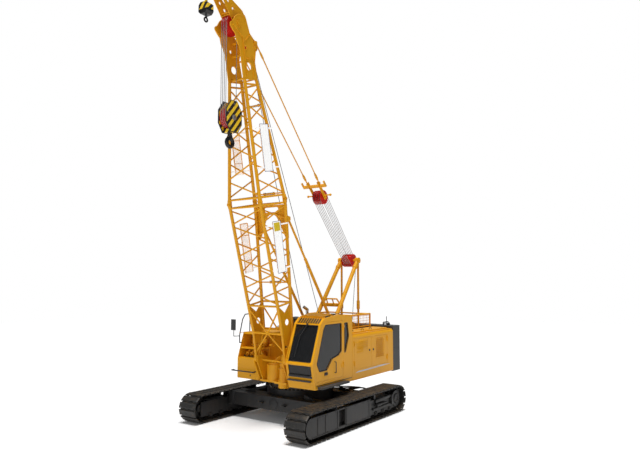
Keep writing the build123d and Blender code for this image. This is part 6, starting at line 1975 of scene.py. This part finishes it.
@dataclass
class HouseFittings(Assembly):
    """Latches, louvres, trim, hatch handles, the winch guard's mesh and the air cleaner."""

    skin: float = 1.737
    roof: float = 2.703
    sill: float = 1.3
    eaves: float = 2.655
    latches: tuple[tuple[str, float], ...] = (("front", 1.503), ("rear", 1.75))
    hatches: Pairs = ((0.6, 1.56), (1.76, 2.96))
    mesh_low: float = 2.77
    mesh_high: float = 3.135
    wire_radius: float = 0.0055

    def latch(self, y: float, z: float) -> Pieces:
        """Make a round flush latch with its paddle."""
        return [
            self.turned(
                "latch_ring",
                ((0.0, 0.036), (0.01, 0.035), (0.013, 0.026), (0.006, 0.022), (0.006, 0.0)),
                (self.skin + 0.001, y, z), steps=24),
            self.box(
                "latch_paddle", (self.skin + 0.006, y - 0.011, z - 0.024),
                (self.skin + 0.016, y + 0.011, z + 0.024), bevel=0.004)]

    def doors(self) -> None:
        """Dress both engine doors."""
        x = self.skin
        for name, at in self.latches:
            self.hang(
                f"engine_door_{name}_latch", self.latch(at, 2.068), f"engine_door_{name}",
                Finish.PLASTIC)
        slats = [
            self.plate(
                "door_louvre",
                ((x - 0.002, 0.8, 2.425 - row * 0.055), (x - 0.002, 1.4, 2.425 - row * 0.055),
                 (x + 0.016, 1.385, 2.404 - row * 0.055), (x + 0.016, 0.815, 2.404 - row * 0.055)),
                (0.0, 0.0, -0.008), bevel=0.002, segments=1) for row in range(5)]
        self.hang("engine_door_front_louvres", slats, "engine_door_front", Finish.PAINT)
        grille = [
            self.bar(
                "grille_bar", (x + 0.001, 1.925, 1.785 + row * 0.0297),
                (x + 0.001, 2.455, 1.785 + row * 0.0297), 0.0065, sides=8, rim=0.0)
            for row in range(21)]
        loop = ((x, 1.92, 1.775), (x, 2.46, 1.775), (x, 2.46, 2.39), (x, 1.92, 2.39))
        grille.append(self.tube(
            "grille_frame", loop, 0.009, corner=0.02, resolution=2, closed=True))
        self.hang("engine_door_rear_grille", grille, "engine_door_rear", Finish.PAINT)

    def stripe(self) -> None:
        """Lay the plain stripe along the left house."""
        x = self.skin - 0.0008
        pale = [
            self.sheet(
                "stripe_low", "X", x, ((0.62, 1.432), (2.3, 1.448), (1.2, 1.478), (0.78, 1.47)),
                0.0025, bevel=0.0006, segments=1),
            self.sheet(
                "stripe_high", "X", x, ((1.26, 1.482), (2.34, 1.455), (2.93, 1.476), (2.4, 1.5)),
                0.0025, bevel=0.0006, segments=1)]
        self.hang("house_stripe", pale, "upper", Finish.STRIPE)

    def seams(self) -> None:
        """Put trim rails, corner bolts and drip edges on both houses."""
        pieces = []
        for side, skin, front in ((1.0, self.skin, 0.47), (-1.0, 1.657, -1.16)):
            x = side * skin
            pieces.append(self.box(
                "sill_rail", (x, front, 1.236), (x + side * 0.01, 3.09, 1.262), bevel=0.004))
            for index in range(10):
                y = front + 0.12 + (3.0 - front - 0.12) * index / 9
                pieces.append(self.bolt(
                    "sill_bolt", (x, y, self.sill), (x + side * 0.009, y, self.sill), 0.011,
                    rim=0.1))
            pieces.append(self.tube(
                "drip_edge",
                ((x - side * 0.045, front, self.eaves), (x - side * 0.045, 3.09, self.eaves)),
                0.008, resolution=2))
        for y in (-0.1, 0.7, 1.5, 2.3):
            pieces.append(self.box(
                "panel_rib", (-1.667, y - 0.02, 1.6), (-1.655, y + 0.02, 2.48), bevel=0.005))
        self.hang("house_trim", pieces, "upper", Finish.PAINT)

    def roofs(self) -> None:
        """Put hinges and grab handles on the roof hatches, and tread mats beside them."""
        dark, mats = [], []
        for side in BOTH:
            for low, high in self.hatches:
                for y in (low + 0.16, high - 0.16):
                    x = side * 1.52
                    dark.append(self.tube(
                        "hatch_handle",
                        ((x, y - 0.07, self.roof), (x, y - 0.07, self.roof + 0.05),
                         (x, y + 0.07, self.roof + 0.05), (x, y + 0.07, self.roof)), 0.009,
                        corner=0.02))
                    dark.append(self.bar(
                        "hatch_hinge", (side * 1.004, y - 0.05, self.roof + 0.006),
                        (side * 1.004, y + 0.05, self.roof + 0.006), 0.012, sides=12))
            mats.append(self.box(
                "roof_mat", (side * 0.78, 0.62, 2.659), (side * 0.95, 1.55, 2.667), bevel=0.002))
        self.hang("hatch_handles", dark, "upper", Finish.PLASTIC)
        self.hang("roof_mats", mats, "upper", Finish.TREAD)

    def guard(self) -> None:
        """Weld the mesh panels into the winch guard."""
        pieces = []
        for side in BOTH:
            x = side * 0.9
            for index in range(13):
                y = 1.74 + index * 0.0967
                pieces.append(self.bolt(
                    "guard_wire", (x, y, self.mesh_low), (x, y, self.mesh_high), self.wire_radius))
            for z in (2.84, 2.93, 3.02, 3.1):
                pieces.append(self.bolt("guard_wire", (x, 1.71, z), (x, 2.93, z), self.wire_radius))
        for index in range(17):
            x = -0.82 + index * 0.1025
            pieces.append(self.bolt(
                "guard_wire", (x, 1.7, self.mesh_low), (x, 1.7, self.mesh_high), self.wire_radius))
        self.hang("winch_guard_mesh", pieces, "upper", Finish.PAINT)

    def intake(self) -> None:
        """Stand the air cleaner on the right house, and clamp the exhaust."""
        spot = (-0.92, 0.98, 2.659)
        dark = [self.turned(
            "air_cleaner",
            ((0.0, 0.0), (0.0, 0.075), (0.06, 0.078), (0.08, 0.15), (0.095, 0.158), (0.3, 0.158),
             (0.315, 0.15), (0.322, 0.11), (0.345, 0.106), (0.352, 0.168), (0.372, 0.172),
             (0.41, 0.13), (0.425, 0.07), (0.428, 0.0)), spot, UPWARD, steps=36)]
        for right, back in around(12, 0.16):
            x, y = spot[0] + right, spot[1] + back
            dark.append(self.bar("cleaner_rib", (x, y, 2.765), (x, y, 2.945), 0.008, sides=8))
        self.hang("air_cleaner", dark, "upper", Finish.PLASTIC)
        bright = []
        low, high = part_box("exhaust")
        x, y = (low.x + high.x) / 2, high.y - 0.055
        for z in (2.8, 3.08):
            bright.append(self.turned(
                "pipe_clamp", ((-0.014, 0.05), (-0.014, 0.062), (0.014, 0.062), (0.014, 0.05)),
                (x, y, z), UPWARD, steps=28))
        bright.append(self.turned(
            "pipe_flange", ((0.0, 0.052), (0.0, 0.085), (0.014, 0.085), (0.018, 0.052)),
            (x, y, 2.66), UPWARD, steps=28))
        self.hang("exhaust_clamps", bright, "upper", Finish.CHROME)

    def build(self) -> None:
        """Fit out the houses."""
        self.doors()
        self.stripe()
        self.seams()
        self.roofs()
        self.guard()
        self.intake()


@dataclass
class RightBays(Assembly):
    """The open bays at the right front, with their valves, filters, pipes and hoses."""

    left: float = -1.6
    right: float = -0.8

    def build(self) -> None:
        """Fill both bays."""
        paint, dark = [], []
        for row in range(4):
            x = self.left + 0.08 + row * 0.185
            paint.append(self.box(
                "valve_body", (x, -0.94 + row * 0.02, 1.885), (x + 0.125, -0.7, 2.03), bevel=0.01,
                segments=3))
            paint.append(self.turned(
                "valve_cap",
                ((0.0, 0.044), (0.03, 0.044), (0.038, 0.032), (0.06, 0.03), (0.064, 0.0)),
                (x + 0.0625, -0.83, 2.028), UPWARD, steps=18))
            paint.append(self.bar(
                "valve_port", (x + 0.0625, -0.94 + row * 0.02, 1.95),
                (x + 0.0625, -1.0 + row * 0.02, 1.95), 0.026, sides=6))
        for row in range(3):
            x = self.left + 0.14 + row * 0.235
            paint.append(self.turned(
                "filter",
                ((0.0, 0.0), (0.0, 0.06), (0.014, 0.07), (0.19, 0.07), (0.205, 0.082),
                 (0.235, 0.082), (0.245, 0.04), (0.262, 0.036), (0.266, 0.0)), (x, -0.6, 2.195),
                UPWARD, steps=24))
            paint.append(self.tube(
                "filter_pipe",
                ((x, -0.66, 2.25), (x, -0.76, 2.25), (x + 0.1, -0.76, 2.25),
                 (x + 0.1, -0.76, 2.19)), 0.018, corner=0.03))
        for row in range(4):
            z = 2.49 + row * 0.028
            paint.append(self.tube(
                "header_pipe",
                ((self.left - 0.02, -0.55 + row * 0.025, z),
                 (self.right + 0.02, -0.55 + row * 0.025, z)), 0.011))
        for row in range(5):
            x = self.left + 0.11 + row * 0.15
            dark.append(self.tube(
                "bay_hose",
                ((x, -0.96, 1.93), (x, -1.035, 1.925), (x + 0.04, -1.045, 1.89),
                 (x + 0.09, -0.99, 1.878), (x + 0.12, -0.9, 1.88)), 0.013, corner=0.02))
        paint.append(self.box(
            "bay_shelf", (self.left - 0.045, -0.93, 2.152), (self.right + 0.045, -0.64, 2.176),
            bevel=0.005))
        self.hang("bay_valves", paint, "upper", Finish.PAINT)
        self.hang("bay_hoses", dark, "upper", Finish.RUBBER_AND_SHADE)


@dataclass
class Ballast(Assembly):
    """Seams, tie bolts, lifting eyes and lamps of the counterweight."""

    low: Point = (-1.657, 3.11, 1.18)
    high: Point = (1.737, 3.668, 2.74)
    joints: Numbers = (1.7, 2.22)
    ties: Numbers = (-1.25, -0.42, 0.5, 1.33)
    tie_rows: Numbers = (1.44, 1.96, 2.48)
    eyes: Numbers = (-1.2, 1.28)
    lamps: Numbers = (-1.45, 1.53)

    def build(self) -> None:
        """Fit out the counterweight."""
        y = self.high[1]
        pieces = []
        for z in self.joints:
            pieces.append(self.box(
                "ballast_seam", (self.low[0] + 0.08, y - 0.002, z - 0.014),
                (self.high[0] - 0.08, y + 0.008, z + 0.014), bevel=0.004))
        for x in self.ties:
            for z in self.tie_rows:
                pieces.append(self.turned(
                    "tie_bolt",
                    ((0.0, 0.052), (0.004, 0.05), (0.006, 0.03), (0.009, 0.028), (0.009, 0.0)),
                    (x, y - 0.001, z), REARWARD, steps=20))
        for x in self.eyes:
            pieces.append(self.tube(
                "lifting_eye",
                ((x - 0.07, 3.39, 2.735), (x - 0.07, 3.39, 2.805), (x + 0.07, 3.39, 2.805),
                 (x + 0.07, 3.39, 2.735)), 0.018, corner=0.05, resolution=4))
        for x in self.lamps:
            pieces.append(self.box(
                "tail_lamp_case", (x - 0.075, y - 0.004, 1.3), (x + 0.075, y + 0.009, 1.375),
                bevel=0.004))
        self.hang("counterweight_fittings", pieces, "upper", Finish.BALLAST)
        lens = [
            self.box(
                "tail_lamp", (x - 0.06, y + 0.006, 1.312), (x + 0.06, y + 0.014, 1.363),
                bevel=0.003) for x in self.lamps]
        self.hang("tail_lamps", lens, "upper", Finish.AMBER)


@dataclass
class DeckFront(Assembly):
    """Bolt rings, ribs, the swing motor and hoses between the boom's feet."""

    gearbox: Pair = (0.27, -1.15)
    housing: Pair = (-0.225, -1.01)
    housing_top: float = 1.738
    gearbox_rings: tuple[tuple[float, float, int], ...] = ((0.175, 1.317, 12), (0.155, 1.672, 12))

    def ring(self, place: Pair, radius: float, z: float, count: int) -> Pieces:
        """Set a ring of bolts on a flange."""
        pieces = []
        for right, back in around(count, radius, 0.5):
            x, y = place[0] + right, place[1] + back
            pieces.append(self.bolt("flange_bolt", (x, y, z), (x, y, z + 0.02), 0.012, rim=0.1))
        return pieces

    def build(self) -> None:
        """Fit out the deck's front."""
        x, y = self.gearbox
        paint = [bolt for ring in self.gearbox_rings for bolt in self.ring(self.gearbox, *ring)]
        paint.append(self.turned(
            "motor_flange",
            ((0.0, 0.12), (0.022, 0.12), (0.026, 0.1), (0.11, 0.096), (0.12, 0.08), (0.16, 0.076),
             (0.166, 0.0)), (x, y, 1.912), UPWARD, steps=32))
        hx, hy = self.housing
        for right, back in around(8, 0.238):
            paint.append(self.box(
                "housing_rib", (hx + right - 0.008, hy + back - 0.008, 1.28),
                (hx + right + 0.008, hy + back + 0.008, 1.73), bevel=0.004))
        paint += self.ring(self.housing, 0.205, self.housing_top, 10)
        paint.append(self.turned(
            "housing_cap", ((0.0, 0.15), (0.014, 0.148), (0.04, 0.06), (0.075, 0.052), (0.08, 0.0)),
            (hx, hy, self.housing_top), UPWARD, steps=28))
        dark = []
        for side, off in ((-1.0, 0.0), (1.0, 0.03)):
            dark.append(self.tube(
                "swing_hose",
                ((x + side * 0.05, y + 0.06, 2.02), (x + side * 0.06, y + 0.17, 2.06 + off),
                 (x + side * 0.12, y + 0.36, 1.9), (x + side * 0.16, y + 0.42, 1.5),
                 (x + side * 0.17, y + 0.4, 1.285)), 0.017, corner=0.09))
        self.hang("deck_front_fittings", paint, "upper", Finish.PAINT)
        self.hang("swing_hoses", dark, "upper", Finish.RUBBER_AND_SHADE)


@dataclass
class MirrorFace(Assembly):
    """The glass of the mirror at the right front, facing the cab."""

    x: float = -1.717
    y: float = -1.31

    def build(self) -> None:
        """Set the glass in its case."""
        face = [self.box(
            "mirror_glass", (self.x - 0.078, self.y - 0.007, 2.752),
            (self.x + 0.078, self.y - 0.002, 3.078), bevel=0.002)]
        self.hang("mirror_glass", face, "upper", Finish.MIRROR)


# ---------------------------------------------------------------- plated head and block trims


@dataclass
class HeadPlates(Assembly):
    """Edge beads, hole rims, ribs and bolt rings on the plated head and the tip."""

    face: float = 0.315
    tip_face: float = 0.172
    boss: Pair = (10.08, -0.025)
    outline: Pairs = (
        (8.54, -0.05), (9.3, -0.105), (9.42, -0.125), (9.59, -0.215), (9.77, -0.226),
        (9.86, -0.312), (9.99, -0.4), (10.06, -0.395), (10.11, -0.288), (10.26, -0.16),
        (10.353, 0.0), (10.352, 0.262), (10.235, 0.305), (9.844, 0.389), (9.69, 0.532),
        (9.59, 0.662), (9.52, 0.69), (9.39, 0.655), (9.31, 0.54), (9.163, 0.48), (8.54, 0.468))
    tip: Pairs = (
        (10.285, -0.185), (10.75, -0.42), (11.23, -0.69), (11.37, -0.665), (11.395, -0.545),
        (11.29, -0.44), (10.8, -0.075), (10.53, 0.344), (10.37, 0.43))
    holes: tuple[Point, ...] = ((8.855, 0.19, 0.118), (9.401, 0.14, 0.05))
    tip_holes: tuple[Point, ...] = (
        (10.553, -0.06, 0.052), (10.735, -0.222, 0.048), (10.925, -0.35, 0.044))
    ribs: tuple[Four, ...] = (
        (8.56, 0.06, 9.7, 0.06), (9.09, 0.06, 9.09, 0.455), (9.56, 0.06, 9.8, 0.4),
        (9.7, 0.06, 10.02, -0.3), (8.56, 0.33, 9.36, 0.56))

    def rim(self, along: float, behind: float, radius: float, x: float, side: float) -> Piece:
        """Turn a raised rim round a lightening hole."""
        return self.turned(
            "hole_rim",
            ((-0.004, radius + 0.026), (0.007, radius + 0.024), (0.01, radius + 0.016),
             (0.01, radius + 0.006), (0.004, radius), (-0.028, radius)),
            BOOM.at(side * x, along, behind), (side, 0.0, 0.0), steps=32)

    def rib(self, run: Four, side: float) -> Piece:
        """Weld a flat rib on the head's outer face."""
        start, end = (
            BOOM.at(side * self.face, run[0], run[1]), BOOM.at(side * self.face, run[2], run[3]))
        square = (end - start).normalized().cross(Vector((1.0, 0.0, 0.0))) * 0.009
        return self.plate(
            "head_rib", (start - square, end - square, end + square, start + square),
            (side * 0.026, 0.0, 0.0), bevel=0.004)

    def build(self) -> None:
        """Fit out the plates of the head."""
        pieces = []
        for side in BOTH:
            pieces.append(self.tube(
                "head_bead",
                [BOOM.at(side * (self.face - 0.004), along, behind) for along,
                 behind in self.outline], 0.014, corner=0.02, resolution=2))
            pieces.append(self.tube(
                "tip_bead",
                [BOOM.at(side * (self.tip_face - 0.003), along, behind) for along,
                 behind in self.tip], 0.011, corner=0.02, resolution=2))
            pieces += [self.rim(*hole, self.face, side) for hole in self.holes]
            pieces += [self.rim(*hole, self.tip_face, side) for hole in self.tip_holes]
            pieces += [self.rib(run, side) for run in self.ribs]
            for along, behind in around(8, 0.115):
                spot = BOOM.at(side * self.face, self.boss[0] + along, self.boss[1] + behind)
                pieces.append(self.bolt(
                    "boss_bolt", spot, spot + Vector((side * 0.016, 0.0, 0.0)), 0.011, rim=0.1))
        self.hang("head_plates_trim", pieces, "boom", Finish.PAINT)


@dataclass
class BlockTrim(Assembly):
    """Black edges round the main block's cheeks, and the black lower shell of the aux weight."""

    axle: Pair = (-3.381, 9.06)
    outline: Pairs = (
        (-0.15, -0.43), (0.15, -0.43), (0.315, -0.17), (0.315, 0.21), (0.12, 0.49), (-0.12, 0.49),
        (-0.315, 0.21), (-0.315, -0.17))
    aux: Pair = (-4.389, 11.97)

    def build(self) -> None:
        """Trim both blocks."""
        y, z = self.axle
        pieces = [
            self.tube(
                "cheek_edge",
                [(x, y + off * 0.985, z + rise * 0.985) for off, rise in self.outline], 0.019,
                resolution=2, closed=True) for x in (-0.154, 0.154)]
        self.hang("main_block_edges", pieces, "main_block", Finish.HOOK)
        y, z = self.aux
        shell = self.plate(
            "weight_shell",
            [(x, y - 0.133, z + rise) for x,
             rise in (
                 (-0.168, -0.035), (-0.168, -0.097), (-0.097, -0.168), (0.097, -0.168),
                 (0.168, -0.097), (0.168, -0.035))], (0.0, 0.266, 0.0), bevel=0.006)
        self.done(shell, "aux_block", Finish.HOOK)


@dataclass
class DeckPipes(Assembly):
    """Pipes, caps and ridges between the boom's feet, and a dark patch of painted shade in the
    service opening behind them.
    """

    gearbox: Pair = (0.27, -1.15)
    wall: float = -0.744
    deck: float = 1.274

    def build(self) -> None:
        """Fill in the deck's middle."""
        x, y = self.gearbox
        pieces = []
        for z, radius in (
                (1.415, 0.15), (1.47, 0.15), (1.525, 0.15), (1.59, 0.15), (1.708, 0.128),
                (1.79, 0.14)):
            pieces.append(self.turned(
                "gearbox_ridge",
                ((-0.014, radius - 0.004), (-0.01, radius + 0.01), (0.01, radius + 0.01),
                 (0.014, radius - 0.004)), (x, y, z), UPWARD, steps=36))
        for index in range(5):
            px = -0.66 + index * 0.048
            pieces.append(self.tube(
                "deck_pipe",
                ((px, -0.7 + index * 0.03, self.deck),
                 (px, -0.7 + index * 0.03, 1.7 + index * 0.035), (px, -0.52, 1.76 + index * 0.035),
                 (px, -0.2, 1.76 + index * 0.035)), 0.014, corner=0.05, resolution=2))
        for px, py in ((0.06, -0.82), (0.12, -0.78), (0.48, -0.76)):
            pieces.append(self.tube(
                "swing_pipe",
                ((px, py, self.deck), (px, py, 1.93), (px + 0.05, py + 0.12, 2.01),
                 (px + 0.05, py + 0.42, 2.01)), 0.013, corner=0.05, resolution=2))
            pieces.append(self.bolt("pipe_nut", (px, py, 1.56), (px, py, 1.6), 0.022, rim=0.1))
        for place, radius in (
                ((self.wall, -0.897, 2.418), 0.056), ((self.wall, -0.62, 2.25), 0.04),
                ((self.wall, -0.48, 1.7), 0.046)):
            pieces.append(self.turned(
                "wall_cap",
                ((-0.004, radius * 1.25), (0.01, radius * 1.2), (0.014, radius),
                 (0.06, radius * 0.95), (0.08, radius * 0.6), (0.084, 0.0)), place, steps=24))
        loop = (
            (self.wall + 0.004, 0.15, 2.07), (self.wall + 0.004, 0.47, 2.07),
            (self.wall + 0.004, 0.47, 2.43), (self.wall + 0.004, 0.15, 2.43))
        pieces.append(self.tube(
            "opening_frame", loop, 0.013, corner=0.03, resolution=2, closed=True))
        self.hang("deck_pipes", pieces, "upper", Finish.PAINT)
        # A thin black box fills the service opening as painted shade; the front plug beside it is a
        # real plug.
        dark = [
            self.box(
                "service_opening_shade", (self.wall - 0.002, 0.155, 2.075),
                (self.wall + 0.006, 0.465, 2.425), bevel=0.003),
            self.turned(
                "front_plug", ((-0.003, 0.024), (0.004, 0.022), (0.007, 0.012), (0.007, 0.0)),
                (-1.095, -1.181, 1.33), (0.0, -1.0, 0.0), steps=16)]
        self.hang("opening_shade_and_plug", dark, "upper", Finish.RUBBER_AND_SHADE)


# ---------------------------------------------------------------- the picture


@dataclass(frozen=True)
class Studio:
    """Camera, lights and floor of the picture."""

    place: Point = (12.012, -15.753, 4.505)
    pitch: float = 94.758
    heading: float = 35.441
    lens: float = 33.66
    floor: float = 90.0
    sun_turn: Point = (8.5, 7.0, 0.0)
    sun_power: float = 3.0
    sun_angle: float = 22.0
    lights: tuple[tuple[str, Point, float, float], ...] = (
        ("fill", (4.0, -26.0, 12.0), 14.0, 1000.0), ("rim", (-10.0, 20.0, 18.0), 12.0, 600.0))
    sky: float = 0.14
    backdrop: float = 1.0
    glow: float = 0.04

    def camera(self) -> None:
        """Aim the camera from the crane's front left."""
        data = bpy.data.cameras.new("view")
        data.lens = self.lens
        data.sensor_width = 36.0
        data.clip_end = 400.0
        camera = bpy.data.objects.new("view", data)
        camera.location = self.place
        camera.rotation_euler = (math.radians(self.pitch), 0.0, math.radians(self.heading))
        bpy.context.scene.collection.objects.link(camera)
        bpy.context.scene.camera = camera

    def lamps(self) -> None:
        """Put up a soft overhead key, a fill, a rim and a white sky."""
        data = bpy.data.lights.new("key", "SUN")
        data.energy = self.sun_power
        data.angle = math.radians(self.sun_angle)
        key = bpy.data.objects.new("key", data)
        key.rotation_euler = [math.radians(turn) for turn in self.sun_turn]
        bpy.context.scene.collection.objects.link(key)
        for name, place, size, power in self.lights:
            data = bpy.data.lights.new(name, "AREA")
            data.size = size
            data.energy = power
            light = bpy.data.objects.new(name, data)
            light.location = place
            aim = Vector((0.0, 0.0, 4.0)) - light.location
            light.rotation_euler = aim.to_track_quat("-Z", "Y").to_euler()
            bpy.context.scene.collection.objects.link(light)
        world = bpy.data.worlds.new("sky")
        world.use_nodes = True
        background = world.node_tree.nodes["Background"]
        background.inputs["Color"].default_value = WHITE
        hand = NodeTree(world.node_tree)
        seen = hand.add("ShaderNodeLightPath").outputs["Is Camera Ray"]
        strength = hand.maths("MULTIPLY_ADD", seen, self.backdrop - self.sky, self.sky)
        hand.join(strength, background.inputs["Strength"])
        bpy.context.scene.world = world
        bpy.context.scene.view_settings.view_transform = "Standard"

    def ground(self) -> None:
        """Lay a plain pale floor."""
        Assembly.clear()
        bpy.ops.mesh.primitive_plane_add(size=self.floor)
        floor = bpy.context.object
        floor.name = "floor"
        material, hand, shader = fresh_material("pale_floor")
        hand.adjust(
            shader,
            {"Roughness": 0.9, "Specular IOR Level": 0.1, "Emission Color": WHITE,
             "Emission Strength": self.glow})
        place = hand.coordinates()
        share = hand.band(hand.noise(place, 0.6), 0.3, 0.7)
        hand.join(
            hand.mix(share, (0.96, 0.96, 0.96, 1.0), (0.99, 0.99, 0.99, 1.0)),
            shader.inputs["Base Color"])
        floor.data.materials.append(material)

    def build(self) -> None:
        """Set up the whole picture."""
        self.camera()
        self.lamps()
        self.ground()


def note_size() -> None:
    """Update the view layer.
    """
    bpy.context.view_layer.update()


def main() -> None:
    """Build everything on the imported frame."""
    logging.basicConfig(level=logging.INFO, format="%(message)s")
    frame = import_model()
    shop = PaintShop()
    shop.coat_nodes(frame["nodes"])
    for assembly in (
            Tracks, SideFrames, SlewGear, CabFittings, Rigging, BoomFittings, HeadFittings,
            HookBlocks, HeadPlates, BlockTrim, HouseFittings, RightBays, Ballast, DeckFront,
            DeckPipes, MirrorFace):
        LOG.info("building %s", assembly.__name__)
        assembly(shop).build()
    Studio().build()
    note_size()


if __name__ == "__main__":
    main()
